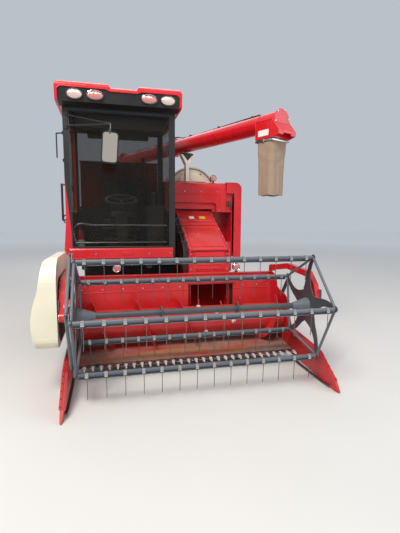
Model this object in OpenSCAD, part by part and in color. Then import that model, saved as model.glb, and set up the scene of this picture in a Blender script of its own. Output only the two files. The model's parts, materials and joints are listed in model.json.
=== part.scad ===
// Crawler combine harvester with a tined reel, a cab at the right front and an unloading boom.
// Millimetres. Forward is -Y, the machine's left is +X. Inside the modules X = 0 is the header's
// middle, Y = 0 the reel's axis and Z = 0 the ground; placed() moves that to the middle of the whole.

/* [Reel] */
// Length of the bats between the star frames
reel_w = 2088; // [1700:4:2300]
// Radius of the circle of the bats
reel_r = 474; // [440:1:490]
// Height of the reel's axis, reel lowered
reel_h = 700; // [690:1:760]
// Angle of the first bat above the horizontal
reel_turn = 8; // [0:1:20]
// Diameter of a bat's tube
bat_d = 34; // [28:1:44]
// Diameter of the reel's centre tube
reel_tube_d = 54; // [46:1:90]
// Length of a tine below its bat
tine_len = 208; // [150:1:215]
// Diameter of a tine
tine_d = 6; // [4:0.5:9]
// Distance between tines
tine_gap = 150; // [100:5:220]
// Thickness of a star frame
star_t = 8; // [6:1:10]
// Offset of the eccentric ring, rearwards
ecc_y = 30; // [20:1:40]
// Offset of the eccentric ring, upwards
ecc_z = 50; // [40:1:60]

/* [Header] */
// Width between the side plates
cut_w = 2256; // [2250:2:2500]
// Thickness of the pan, walls and side plates
plate_t = 8; // [5:1:10]
// Distance of the knife behind the reel's axis
knife_y = 380; // [360:5:400]
// Height of the knife
knife_h = 120; // [100:5:140]
// Distance of the auger behind the reel's axis
auger_y = 740; // [735:1:780]
// Height of the auger's axis
auger_h = 415; // [400:1:430]
// Diameter of the auger's tube
auger_d = 300; // [240:2:320]
// Diameter over the auger's flights
flight_d = 488; // [440:2:490]
// Pitch of the flights
flight_pitch = 440; // [360:10:520]
// Gap between flights and trough
trough_gap = 16; // [12:1:24]
// Top of the header's back beam
header_h = 890; // [860:5:900]
// Side of the back beams' square tube
beam_s = 60; // [50:2:70]
// Reach of the dividers ahead of the reel's axis
divider_reach = 445; // [400:5:470]

/* [Feeder] */
// Width of the feeder house
feeder_w = 500; // [440:5:540]
// Offset of the feeder from the header's middle
feeder_x = 370; // [340:5:380]
// Pivot of the feeder, behind the reel's axis
feeder_pivot_y = 1990; // [1980:5:2010]
// Height of the feeder's pivot
feeder_pivot_h = 1330; // [1320:5:1350]
// Wall of the feeder house
feeder_wall = 10; // [6:1:14]

/* [Tracks] */
// Distance between the tracks' middles
gauge = 1180; // [1160:5:1260]
// Width of a track
track_w = 450; // [400:5:470]
// Pitch of the lugs
lug_pitch = 90; // [80:1:100]
// Height of a lug
lug_h = 28; // [20:1:34]
// Thickness of the belt
belt_t = 28; // [22:1:34]
// Radius inside the belt at the sprocket
sprocket_r = 170; // [150:1:185]
// Radius inside the belt at the idler
idler_r = 175; // [150:1:190]
// Radius of a track roller
roller_r = 75; // [60:1:85]
// Sprocket's place behind the reel's axis
sprocket_y = 1830; // [1810:5:1860]
// Height of the sprocket
sprocket_h = 455; // [430:5:470]
// Distance from the sprocket to the idler
track_len = 1720; // [1650:10:1800]

/* [Cab] */
// Width of the cab
cab_w = 1182; // [1170:2:1190]
// Middle of the cab, left of the header's middle when positive
cab_x = -631; // [-640:1:-625]
// Front of the cab behind the reel's axis
cab_y = 1070; // [1060:5:1080]
// Depth of the cab
cab_len = 1060; // [1040:5:1070]
// Floor of the cab
cab_floor_h = 1100; // [1090:5:1120]
// Lower edge of the windscreen
sill_h = 1197; // [1190:1:1205]
// Upper edge of the windscreen
glass_top_h = 2673; // [2650:1:2690]
// Rise of the roof above the windscreen
roof_rise = 247; // [230:1:260]
// Roof's overhang ahead of the windscreen
roof_over = 154; // [130:1:170]
// Thickness of the cab's posts
post_s = 60; // [50:1:70]
// Thickness of the glass
glass_t = 6; // [5:1:8]

/* [Body] */
// Front wall of the thresher behind the reel's axis
thresher_y = 1950; // [1945:5:1960]
// Length of the thresher
thresher_len = 2200; // [2150:10:2260]
// Right edge of the thresher
thresher_x0 = 20; // [10:2:30]
// Left edge of the thresher
thresher_x1 = 930; // [920:2:940]
// Underside of the thresher
thresher_z0 = 800; // [790:5:820]
// Top of the thresher's box
thresher_z1 = 1880; // [1860:5:1900]
// Middle of the threshing drum's cover
drum_x = 400; // [390:5:410]
// Height of the drum cover's axis
drum_h = 1905; // [1895:5:1915]
// Radius of the drum cover
drum_r = 360; // [340:5:370]
// Outer face of the left side shield
shield_x = 1050; // [1040:5:1060]
// Top of the front hood
hood_h = 2030; // [2020:5:2050]
// Length of the straw hood
straw_len = 390; // [360:10:420]
// Right side of the grain tank
tank_x0 = -1150; // [-1180:5:-1130]
// Left side of the grain tank
tank_x1 = -80; // [-100:5:-70]
// Front of the grain tank
tank_y0 = 2260; // [2240:5:2280]
// Length of the grain tank
tank_len = 1640; // [1600:10:1680]
// Top of the grain tank
tank_h = 2310; // [2280:5:2330]
// Bottom of the grain tank above the engine
tank_wall_h = 1480; // [1460:5:1500]
// Depth of the grain tank's hopper below that
hopper_d = 330; // [300:5:340]
// Length of the engine bay
engine_len = 780; // [770:5:800]
// Height of the engine's block
engine_h = 1120; // [1100:5:1140]

/* [Unloader] */
// Post of the unloader, left of the header's middle when positive
post_x = -574; // [-590:2:-560]
// Post of the unloader, behind the reel's axis
post_y = 4110; // [4100:2:4120]
// Diameter of the unloading tubes
tube_d = 200; // [180:2:210]
// Height of the boom's axis above the grain tank
boom_rise = 240; // [230:2:260]
// Length of the boom from the post's axis
boom_len = 3860; // [3700:10:3900]
// Angle of the stowed boom, from +X
boom_angle = -65.8; // [-66.5:0.1:-65]
// Distance of the boom's flange from the post
flange_at = 1884; // [1800:2:2000]
// Height of the turntable
turntable_h = 1960; // [1900:5:2000]
// Width of the canvas sleeve
sleeve_w = 262; // [250:2:270]
// Length of the canvas sleeve
sleeve_len = 590; // [500:5:620]

/* [Hidden] */

red = "#c4161c";
dark = "#2b2d2f";
steel = "#4b535c";
cream = "#efe6cc";
black = "#17181a";
// Clearance of a seat, of a turning pin and of parts that pass each other
seat = 0.3;
pin_gap = 0.3;
free_gap = 6;
// Room for the rubber pad of the boom's rest
pad_room = 36;
// Wall of sheet-metal covers
sheet = 12;

// Width of a reel arm and radius of a star frame's tips
arm_w = 50;
tip_r = 27;
roof_h = glass_top_h + roof_rise;
boom_h = tank_h + boom_rise;
ecc = [ecc_y, ecc_z];
front_end = reel_r * cos(reel_turn) + tip_r;
rear_end = thresher_y + thresher_len + straw_len;
right_end = cut_w / 2 + 282;
left_end = cut_w / 2 + plate_t + arm_w + 12;
mid_x = (left_end - right_end) / 2;
mid_y = (rear_end - front_end) / 2;

side_x = cut_w / 2;
wall_y = auger_y + flight_d / 2 + trough_gap;
trough_r = flight_d / 2 + trough_gap;
arm_x = side_x + plate_t + 4;
arm_pivot = [wall_y + plate_t + beam_s / 2, header_h + 45];
arm_mid = arm_x + arm_w / 2;
reel_lift_foot = [wall_y - 190, header_h - 300];
reel_lift_eye = [wall_y - 480, header_h + 108];
feeder_pivot = [feeder_pivot_y, feeder_pivot_h];
header_lift_foot = [1725, 480];
header_lift_eye = [1280, 720];
lift_x = mid_x - 200;
// Diameters of the shafts, of the pins and of the feeder's pivot tube
shaft_d = 40;
pin_d = 20;
pivot_d = 50;
bat_end = reel_w / 2;
star_x = bat_end + free_gap;
crank_x = star_x + star_t + 8;
ring_x = crank_x + 16;
// Radius of the disc that carries the eccentric ring
ecc_disc_r = norm(ecc) + shaft_d / 2 + 12;
idler_y = sprocket_y + track_len;
idler_h = belt_t + lug_h + idler_r;
track_x = gauge / 2;
roller_h = belt_t + lug_h + roller_r;
cab_x0 = cab_x - cab_w / 2;
cab_x1 = cab_x + cab_w / 2;
cab_y1 = cab_y + cab_len;
tank_y1 = tank_y0 + tank_len;
thresher_y1 = thresher_y + thresher_len;

// Puts a piece from the header's frame into the part's frame
module placed() {
    translate([-mid_x, -mid_y, 0]) children();
}

// A box between two corners
module block(low, high) {
    translate(low) cube(high - low);
}

// An outline of Y and Z, extruded from x0 to x1
module profile(x0, x1) {
    translate([x0, 0, 0]) rotate([90, 0, 90]) linear_extrude(x1 - x0) children();
}

// An outline of X and Z, extruded from y0 to y1
module front_profile(y0, y1) {
    translate([0, y1, 0]) rotate([90, 0, 0]) linear_extrude(y1 - y0) children();
}

// A cylinder along X from x0 to x1, at the place at of Y and Z
module cross_rod(x0, x1, at, d, fn = 32) {
    translate([x0, at.x, at.y]) rotate([0, 90, 0]) cylinder(h = x1 - x0, d = d, $fn = fn);
}

// A round bar between two points
module bar(a, b, d, fn = 24) {
    v = b - a;
    translate(a) rotate([0, acos(v.z / norm(v)), atan2(v.y, v.x)]) cylinder(h = norm(v), d = d, $fn = fn);
}

function arc(c, r, a0, a1, n) = [for (i = [0:n]) c + r * [cos(a0 + (a1 - a0) * i / n), sin(a0 + (a1 - a0) * i / n)]];

// Corners of a rectangle from low to high with rounded corners
function round_rect(low, high, r, n = 5) = concat(
    arc([high.x - r, high.y - r], r, 0, 90, n),
    arc([low.x + r, high.y - r], r, 90, 180, n),
    arc([low.x + r, low.y + r], r, 180, 270, n),
    arc([high.x - r, low.y + r], r, 270, 360, n));

// Outline of a band of width w along a line of points
function unit(v) = v / norm(v);
function left_of(v) = [-v.y, v.x];
function side_dir(p, i) = let(
    a = unit(p[min(i + 1, len(p) - 1)] - p[min(i, len(p) - 2)]),
    b = unit(p[max(i, 1)] - p[max(i - 1, 0)]),
    m = unit(left_of(a) + left_of(b)))
    m / max(0.5, m * left_of(a));
function band(p, w) = concat(
    [for (i = [0:len(p) - 1]) p[i] + side_dir(p, i) * w / 2],
    [for (i = [len(p) - 1:-1:0]) p[i] - side_dir(p, i) * w / 2]);

// A belt around pulleys, each [y, z, radius], listed anticlockwise.
// Its runs are straight between the pulleys and round on them.
function belt_next(p, i) = p[(i + 1) % len(p)];
function belt_d(p, i) = [belt_next(p, i).x - p[i].x, belt_next(p, i).y - p[i].y];
function belt_normal(p, i) = let(d = belt_d(p, i))
    atan2(d.y, d.x) - 90 + asin((p[i][2] - belt_next(p, i)[2]) / norm(d));
function belt_wrap(p, i) = let(t = belt_normal(p, i) - belt_normal(p, (i + len(p) - 1) % len(p)))
    t - 360 * floor(t / 360);
function belt_run(p, i) = let(d = belt_d(p, i), r = p[i][2] - belt_next(p, i)[2]) sqrt(d * d - r * r);
function belt_arc(p, i) = p[i][2] * belt_wrap(p, i) * PI / 180;
function belt_sum(p, n) = n == 0 ? 0 : belt_sum(p, n - 1) + belt_arc(p, n - 1) + belt_run(p, n - 1);
// The point at length s along the belt and at height h over it
function belt_at(p, s, h, i = 0) =
    s <= belt_arc(p, i) ? belt_on_arc(p, s, h, i) :
    s <= belt_arc(p, i) + belt_run(p, i) || i == len(p) - 1 ? belt_on_run(p, s - belt_arc(p, i), h, i) :
    belt_at(p, s - belt_arc(p, i) - belt_run(p, i), h, i + 1);
function belt_on_arc(p, s, h, i) = let(a = belt_normal(p, i) - belt_wrap(p, i) + s / p[i][2] * 180 / PI)
    [p[i].x, p[i].y] + (p[i][2] + h) * [cos(a), sin(a)];
function belt_on_run(p, s, h, i) = let(a = belt_normal(p, i))
    [p[i].x, p[i].y] + (p[i][2] + h) * [cos(a), sin(a)] + s * [-sin(a), cos(a)];
// Outline of a belt with count lugs. rows are [share of the pitch, height over the belt's inside].
function belt_outline(p, count, rows) = let(step = belt_sum(p, len(p)) / count)
    [for (k = [0:count - 1]) for (row = rows) belt_at(p, (k + row.x) * step, row.y)];

// A hydraulic cylinder's barrel from its foot towards its eye, at x
module barrel(foot, eye, x, d, share) {
    v = unit(eye - foot);
    l = norm(eye - foot);
    end = foot + v * l * share;
    difference() {
        union() {
            bar([x, foot.x, foot.y], [x, end.x, end.y], d);
            cross_rod(x - d / 2 + 4, x + d / 2 - 4, foot, d);
        }
        cross_rod(x - d, x + d, foot, pin_d + 2 * pin_gap);
        bar([x, (end - v * (l * share - d)).x, (end - v * (l * share - d)).y],
            [x, (end + v).x, (end + v).y], d * 0.5 + 2 * pin_gap);
    }
}

// The rod of the same cylinder, from inside its barrel to its eye, which has play round its pin
module rod(foot, eye, x, d, share, play) {
    v = unit(eye - foot);
    l = norm(eye - foot);
    start = foot + v * (d * 1.4);
    difference() {
        union() {
            bar([x, start.x, start.y], [x, eye.x, eye.y], d * 0.5);
            cross_rod(x - d / 2 + 4, x + d / 2 - 4, eye, pin_d + 2 * play + 16);
        }
        cross_rod(x - d, x + d, eye, pin_d + 2 * play);
    }
}

// A round tube through a row of points, with a ball at each bend
module pipe(points, d) {
    for (i = [1:len(points) - 1]) bar(points[i - 1], points[i], d);
    for (i = [1:len(points) - 2]) translate(points[i]) sphere(d = d * 1.03, $fn = 24);
}

// One ear of a clevis: a plate from x0 to x1 with a round end at the pin and a foot line of two points
module ear(x0, x1, at, r, foot) {
    v = unit(left_of(foot[1] - foot[0]));
    profile(x0, x1) polygon(concat(foot, arc(at, r, atan2(v.y, v.x) - 90, atan2(v.y, v.x) + 90, 10)));
}

// Tracks: a rubber belt around sprocket, idler and the two end rollers
function track_pulleys() = [
    [sprocket_y + 230, roller_h, roller_r],
    [idler_y, idler_h, idler_r],
    [sprocket_y, sprocket_h, sprocket_r]];
track_count = round(belt_sum(track_pulleys(), 3) / lug_pitch);
module track(side) {
    path = track_pulleys();
    lug = [[0.05, belt_t], [0.16, belt_t + lug_h], [0.44, belt_t + lug_h], [0.55, belt_t]];
    gap = [[0.55, belt_t], [0.66, belt_t + lug_h], [0.94, belt_t + lug_h], [1.05, belt_t]];
    plain = [[0.05, belt_t], [0.55, belt_t]];
    color(black) placed() translate([mid_x + side * track_x, 0, 0]) {
        for (row = [[-track_w / 2, -30, lug], [-30, 30, plain], [30, track_w / 2, gap]])
            profile(row[0], row[1]) difference() {
                polygon(belt_outline(path, track_count, row[2]));
                polygon(belt_outline(path, track_count, [[0.05, 0], [0.55, 0]]));
            }
    }
}
module track_left() track(1);
module track_right() track(-1);

// Undercarriage
roller_pitch = (idler_y - idler_r - roller_r - 60 - (sprocket_y + 230)) / 4;
// How far a facet of the belt's inside dips towards a wheel of radius r
function dip(r) = lug_pitch * lug_pitch / 32 / r;
wheel_in = 40;
wheel_out = 120;
module track_beams() {
    color(dark) placed() for (side = [-1, 1]) translate([mid_x + side * track_x, 0, 0]) {
        difference() {
            profile(-wheel_in + 5, wheel_in - 5) polygon([
                [sprocket_y + 170, roller_h - 30], [idler_y + 40, idler_h - 60], [idler_y + 40, idler_h + 40],
                [sprocket_y + 300, roller_h + 130], [sprocket_y + 170, roller_h + 90]]);
            for (k = [0:4])
                cross_rod(-wheel_in, wheel_in, [sprocket_y + 230 + k * roller_pitch, roller_h], 30 + 2 * seat);
            cross_rod(-wheel_in, wheel_in, [idler_y, idler_h], 40 + 2 * seat);
        }
        for (k = [0.5, 3.5]) let(y = sprocket_y + 230 + k * roller_pitch) {
            block([side > 0 ? -track_x + rail_x + 30 : 0, y - 40, roller_h + 25],
                [side > 0 ? 0 : track_x - rail_x - 30, y + 40, roller_h + 95]);
            block([-side * (track_x - rail_x) - 30, y - 40, roller_h + 25],
                [-side * (track_x - rail_x) + 30, y + 40, rail_z0]);
        }
    }
}
module track_wheels() {
    color(steel) placed() for (side = [-1, 1]) translate([mid_x + side * track_x, 0, 0]) {
        for (k = [0:4]) {
            cross_rod(-wheel_out, wheel_out, [sprocket_y + 230 + k * roller_pitch, roller_h], 30);
            for (s = [-1, 1])
                translate([s * (wheel_in + wheel_out) / 2, 0, 0]) cross_rod(-(wheel_out - wheel_in) / 2,
                    (wheel_out - wheel_in) / 2, [sprocket_y + 230 + k * roller_pitch, roller_h],
                    2 * (roller_r - seat - (k == 0 ? dip(roller_r) : 0)), 48);
        }
        cross_rod(-wheel_out, wheel_out, [idler_y, idler_h], 40);
        for (s = [-1, 1])
            translate([s * (wheel_in + wheel_out) / 2, idler_y, idler_h]) rotate([0, 90, 0])
                difference() {
                    cylinder(h = wheel_out - wheel_in, r = idler_r - seat - dip(idler_r), center = true, $fn = 64);
                    for (f = [-1, 1]) translate([0, 0, f * 30]) difference() {
                        cylinder(h = 30, r = idler_r - 30, center = true, $fn = 48);
                        cylinder(h = 40, r = 45, center = true, $fn = 32);
                    }
                }
        for (s = [-1, 1])
            translate([s * (wheel_in + 20), sprocket_y, sprocket_h]) rotate([90, 0, 90])
                linear_extrude(24, center = true) difference() {
                    polygon([for (k = [0:13]) for (t = [[0, sprocket_r - 34], [0.3, sprocket_r - 34],
                        [0.42, sprocket_r - seat - 2], [0.88, sprocket_r - seat - 2]])
                        t.y * [cos((k + t.x) * 360 / 14), sin((k + t.x) * 360 / 14)]]);
                    for (k = [0:5]) rotate(k * 60) translate([90, 0]) circle(d = 44, $fn = 24);
                    circle(d = 70, $fn = 32);
                }
        cross_rod(-wheel_in - 60, wheel_in + 60, [sprocket_y, sprocket_h], 70);
    }
}
rail_x = 300;
rail_z0 = 620;
rail_z1 = 700;
beam_z1 = 780;
module gearbox() {
    color(dark) placed() {
        translate([mid_x, 0, 0]) profile(-150, 150) polygon(concat(
            arc([sprocket_y, sprocket_h], 150, 180, 360, 12),
            [[sprocket_y + 150, rail_z0], [sprocket_y - 60, rail_z0], [sprocket_y - 150, rail_z0 - 70]]));
        for (s = [-1, 1]) {
            translate([mid_x, 0, 0]) cross_rod(s > 0 ? 150 : -track_x + wheel_in + 60,
                s > 0 ? track_x - wheel_in - 60 : -150, [sprocket_y, sprocket_h], 120, 40);
            translate([mid_x + s * (track_x - 160), 0, 0])
                cross_rod(-40, 40, [sprocket_y, sprocket_h], 230, 48);
        }
    }
}
// Start of the rails and middle of the cab's two bearers
front_y = 1750;
bearer_x = [cab_x - 420, cab_x + 300];
module chassis_frame() {
    color(dark) placed() {
        for (s = [-1, 1])
            block([mid_x + s * rail_x - 30, front_y, rail_z0], [mid_x + s * rail_x + 30, drawbar_y, rail_z1]);
        for (y = [front_y, 2060, drawbar_y - 80])
            block([mid_x - rail_x + 30, y, rail_z0], [mid_x + rail_x - 30, y + 70, rail_z1]);
        for (y = [tank_y0 - 10, tank_y0 + engine_len + 10, tank_y1 - 50])
            block([tank_x0 + 30, y - 40, rail_z1], [thresher_x1 + 60, y + 40, beam_z1]);
        for (x = [tank_x0 + 130, tank_x0 + 430])
            block([x - 20, tank_y0 + engine_len + 50, beam_z1 - 50], [x + 20, tank_y1 - 90, beam_z1]);
        for (x = bearer_x) {
            block([x - 30, cab_y + 70, cab_floor_h - 150], [x + 30, tank_y0 - 10, cab_floor_h - 80]);
            block([x - 30, tank_y0 - 70, beam_z1], [x + 30, tank_y0 - 10, cab_floor_h - 150]);
        }
        block([bearer_x[0] - 30, front_y, cab_floor_h - 220], [bearer_x[1] + 30, front_y + 60, cab_floor_h - 150]);
        block([mid_x - rail_x - 30, front_y, rail_z1], [mid_x - rail_x + 30, front_y + 60, cab_floor_h - 220]);
        difference() {
            translate([mid_x, 0, 0]) union() {
                block([-60, drawbar_y - 10, rail_z0 + 5], [60, drawbar_y + 110, rail_z0 + 25]);
                block([-110, drawbar_y - 10, rail_z0 - 60], [110, drawbar_y + 6, rail_z1]);
            }
            translate([mid_x, drawbar_y + 70, rail_z0]) cylinder(h = 60, d = hitch_d, $fn = 40);
        }
        for (s = [-1, 1]) difference() {
            block([mid_x + s * rail_x - 40, drawbar_y - 20, rail_z0 - 70], [mid_x + s * rail_x + 40, drawbar_y, rail_z0]);
            translate([mid_x + s * rail_x, drawbar_y + 10, rail_z0 - 35]) rotate([90, 0, 0]) cylinder(h = 40, d = eye_d, $fn = 40);
        }
        for (s = [-1, 1])
            ear(lift_x + s * 34 - 6, lift_x + s * 34 + 6, header_lift_foot, 24,
                [[front_y + 60, rail_z0 + 1], [front_y - 40, rail_z0 + 1]]);
        cross_rod(lift_x - 40, lift_x + 40, header_lift_foot, pin_d);
    }
}
drawbar_y = 4260;
// Hitch hole and tie-down eyes
hitch_d = 26;
eye_d = 32;

// Body
module thresher() {
    color(red) placed() difference() {
        union() {
            profile(thresher_x0, thresher_x1) polygon([[thresher_y, beam_z1], [thresher_y1, beam_z1],
                [thresher_y1, thresher_z1], [thresher_y, thresher_z1]]);
            for (y = [2500, 3000, 3500])
                block([thresher_x1, y - 20, beam_z1 + 100], [thresher_x1 + 12, y + 20, thresher_z1 - 80]);
        }
        block([feeder_x - feeder_w / 2 - 14, thresher_y - 1, feeder_pivot_h - 330],
            [feeder_x + feeder_w / 2 + 14, thresher_y + 370, feeder_pivot_h + 330]);
        block([feeder_x + feeder_w / 2, thresher_y - 1, feeder_pivot_h - 130],
            [thresher_x1 - sheet, thresher_y + 300, thresher_z1 - 260]);
        block([thresher_x0 + sheet, thresher_y1 - 260, beam_z1 + 260],
            [thresher_x1 - sheet, thresher_y1 + 1, thresher_z1 - 120]);
    }
    color(steel) placed()
        cross_rod(feeder_x - feeder_w / 2 - 20, feeder_x + feeder_w / 2 + 20, feeder_pivot, pivot_d, 48);
}
module thresher_hood() {
    r = 90;
    y1 = tank_y0 - 20;
    x0 = cab_x1 + 8;
    x1 = shield_x - 220;
    z0 = thresher_z1 - 260;
    outer = concat([[thresher_y - 30, z0], [y1, z0], [y1, hood_h]],
        arc([thresher_y - 30 + r, hood_h - r], r, 90, 180, 8));
    inner = concat([[thresher_y - 30 + sheet, z0 - 20], [y1 + 1, z0 - 20], [y1 + 1, hood_h - sheet]],
        arc([thresher_y - 30 + r, hood_h - r], r - sheet, 90, 180, 8));
    color(red) placed() difference() {
        profile(x0, x1) polygon(outer);
        profile(x0 + sheet, x1 - sheet) polygon(inner);
        front_profile(thresher_y - 40, thresher_y - 30 + sheet + 1)
            polygon(round_rect([feeder_x - 320, feeder_pivot_h + 170], [feeder_x + 310, feeder_pivot_h + 412], 36));
        block([thresher_x0 - 1, thresher_y - 1, z0 - 20], [x1 + 1, y1 + 2, thresher_z1 + seat]);
    }
}
module drum_cover() {
    y0 = tank_y0;
    y1 = thresher_y1 - 250;
    color(cream) placed() difference() {
        front_profile(y0, y1) polygon(arc([drum_x, drum_h], drum_r, -4, 184, 36));
        front_profile(y0 - 1, y1 + 1) polygon(concat(arc([drum_x, drum_h], drum_r - sheet, 0, 180, 36),
            [[drum_x - drum_r + sheet, thresher_z1 - 40], [drum_x + drum_r - sheet, thresher_z1 - 40]]));
        block([drum_x - drum_r - 10, y0 - 1, thresher_z1 - 60], [drum_x + drum_r + 10, y1 + 1, thresher_z1 + seat]);
    }
    color(cream) placed() for (y = [y0, y1 - sheet])
        front_profile(y, y + sheet) polygon(concat(arc([drum_x, drum_h], drum_r - sheet, 0, 180, 36),
            [[drum_x - drum_r + sheet, thresher_z1 + seat], [drum_x + drum_r - sheet, thresher_z1 + seat]]));
}
module side_shield() {
    y0 = thresher_y - 50;
    y1 = thresher_y1 - 300;
    z0 = thresher_z0 + 160;
    outer = concat([[thresher_x1 + sheet + seat, z0], [shield_x, z0]],
        arc([shield_x - 90, hood_h - 90], 90, 0, 90, 8), [[shield_x - 220 + seat, hood_h],
        [shield_x - 220 + seat, thresher_z1 + seat], [thresher_x1 + sheet + seat, thresher_z1 + seat]]);
    inner = concat([[thresher_x1 - 100, z0 - 10], [shield_x - sheet, z0 - 10]],
        arc([shield_x - 90, hood_h - 90], 90 - sheet, 0, 90, 8), [[shield_x - 230, hood_h - sheet]]);
    color(red) placed() difference() {
        front_profile(y0, y1) polygon(outer);
        front_profile(y0 + sheet, y1 - sheet) polygon(inner);
    }
}
module straw_hood() {
    y1 = rear_end;
    z0 = thresher_z0 + 260;
    z1 = thresher_z1 - 30;
    z2 = thresher_z1 - 430;
    outer = [[thresher_y1 + seat, z0], [thresher_y1 + seat, z1], [thresher_y1 + 150, z1], [y1, z2], [y1, z0]];
    inner = [[thresher_y1 - 1, z0 - 10], [thresher_y1 - 1, z1 - sheet], [thresher_y1 + 150 - 5, z1 - sheet],
        [y1 - sheet, z2 - 8], [y1 - sheet, z0 - 10]];
    color(red) placed() difference() {
        profile(thresher_x0 + 20, thresher_x1 - 20) polygon(outer);
        profile(thresher_x0 + 20 + sheet, thresher_x1 - 20 - sheet) polygon(inner);
    }
}
module grain_tank() {
    zb = tank_wall_h;
    rib_gap = (tank_len - 320) / 3;
    color(red) placed() {
        profile(tank_x0 + 12, tank_x1 - 12) polygon([[tank_y0, zb], [tank_y0 + engine_len + 20, zb],
            [tank_y0 + engine_len + 230, zb - hopper_d], [tank_y1, zb - hopper_d], [tank_y1, tank_h - 30],
            [tank_y0, tank_h - 30]]);
        for (k = [0:3])
            block([tank_x0, tank_y0 + 150 + k * rib_gap, zb + 60], [tank_x0 + 12, tank_y0 + 190 + k * rib_gap, tank_h - 60]);
        profile(tank_x0, tank_x1) polygon([[tank_y0 - 6, tank_h - 30], [tank_y1 + 6, tank_h - 30],
            [tank_y1 + 6, tank_h - 12], [tank_y1 - 60, tank_h], [tank_y0 + 60, tank_h], [tank_y0 - 6, tank_h - 12]]);
    }
}
module grain_elevator() {
    elevator_y = tank_y1 - 510;
    color(red) placed() {
        block([tank_x1 + seat, elevator_y - 90, beam_z1 + seat], [thresher_x0 - seat, elevator_y + 90, tank_h - 40]);
        cross_rod(tank_x1 + seat + 10, thresher_x0 - seat, [elevator_y, tank_h - 40], 180, 48);
    }
}
module engine_block() {
    x0 = tank_x0 + 190;
    x1 = tank_x1 - 200;
    color(steel) placed() {
        block([x0, tank_y0, beam_z1], [x1, tank_y0 + engine_len, engine_h]);
        block([x0 + 60, tank_y0 + 70, engine_h], [x1 - 140, tank_y0 + engine_len - 80, engine_h + 180]);
        block([x1 - 142, tank_y0 + 70, engine_h + 40], [x1 + 10, tank_y0 + 190, engine_h + 140]);
        cross_rod(x0 - 40, x0, [tank_y0 + 300, beam_z1 + 140], 260, 48);
    }
}
module engine_bay() {
    x0 = tank_x0 + 30;
    x1 = tank_x1 - 40;
    y1 = tank_y0 + engine_len;
    z1 = tank_wall_h - seat;
    z2 = tank_wall_h - hopper_d - seat;
    color(dark) placed() difference() {
        union() {
            block([x0, tank_y0, beam_z1 + seat], [x0 + 90, y1, z1]);
            block([x0, tank_y0, z1 - 50], [x1, y1, z1]);
            block([x1 - 40, tank_y0, beam_z1 + seat], [x1, y1, z1 - 40]);
            block([x0, tank_y1 - 100, beam_z1 + seat], [x0 + 60, tank_y1 - 40, z2]);
            block([x1 - 60, tank_y1 - 100, beam_z1 + seat], [x1, tank_y1 - 40, z2]);
            block([x0, tank_y1 - 104, z2 - 50], [x1, tank_y1 - 36, z2]);
            for (z = knuckle_z) {
                translate([screen_hinge.x, screen_hinge.y, z + 40 + seat]) cylinder(h = 34, d = knuckle_d, $fn = 32);
                block([screen_hinge.x, y1 + 1, z + 40 + seat], [x0 + 20, y1 + 7, z + 74]);
                block([x0, y1 - 1, z + 40 + seat], [x0 + 20, y1 + 7, z + 74]);
            }
        }
        for (z = [beam_z1 + 70:34:z1 - 110])
            block([x0 - 1, tank_y0 + 60, z], [x0 + 20, y1 - 60, z + 20]);
    }
}
// Diameter of the screen's hinge knuckles, their heights over the beams and the hinge's place
knuckle_d = 14;
knuckle_z = [beam_z1 + 80, beam_z1 + 540];
screen_hinge = [tank_x0 - 8, tank_y0 + engine_len];
module screen_door() {
    color(red) placed() {
        for (z = knuckle_z) {
            translate([screen_hinge.x, screen_hinge.y, z]) cylinder(h = 40, d = knuckle_d, $fn = 32);
            block([screen_hinge.x - 4, screen_hinge.y - 30, z], [tank_x0 + 1, screen_hinge.y, z + 40]);
        }
        difference() {
            block([tank_x0, tank_y0 + 2, beam_z1 + 24], [tank_x0 + 22, tank_y0 + engine_len, tank_wall_h - 40]);
            for (k = [0:13]) for (y = [tank_y0 + 70, tank_y0 + engine_len / 2 + 20])
                block([tank_x0 - 1, y, beam_z1 + 80 + k * 38], [tank_x0 + 23, y + engine_len / 2 - 80, beam_z1 + 100 + k * 38]);
        }
    }
}
module fuel_tank() {
    y0 = tank_y0 + engine_len + 70;
    z1 = tank_wall_h - hopper_d - 60;
    color(black) placed() {
        profile(tank_x0 + 20, tank_x0 + 530)
            polygon(round_rect([y0, beam_z1 + seat], [tank_y1 - 120, z1], 60));
        translate([tank_x0 + 90, y0 + 90, z1 - 10]) cylinder(h = 34, d = 70, $fn = 32);
    }
}
module exhaust() {
    y0 = (cab_y1 + tank_y0) / 2;
    z0 = engine_h + 60;
    color(dark) placed() translate([tank_x1 - 220, y0, 0]) {
        translate([0, 0, z0 + 120]) cylinder(h = 620, d = 100, $fn = 40);
        translate([0, 0, z0 + 740]) cylinder(h = 420, d = 56, $fn = 32);
        translate([0, 0, z0]) cylinder(h = 120, d = 56, $fn = 32);
        block([-30, 0, z0], [30, tank_y0 + 70 - seat - y0, z0 + 60]);
    }
}
module steps() {
    x0 = cab_x0 - 12;
    y0 = cab_y + 330;
    y1 = y0 + 400;
    treads = [cab_floor_h - 670, cab_floor_h - 410, cab_floor_h - 150];
    color(black) placed() {
        for (y = [y0, y1])
            block([x0 - 28, y, treads[0] - 10], [x0, y + 12, cab_floor_h - 90]);
        for (z = treads) {
            block([x0 - 118, y0 + 12, z], [x0, y1, z + 20]);
            for (y = [y0 + 12, y1 - 12])
                block([x0 - 118, y, z + 20], [x0, y + 12, z + 50]);
        }
        block([x0 - 28, y0, cab_floor_h - 100], [cab_x - 450, y1 + 12, cab_floor_h - 80 - seat]);
    }
}

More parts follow.
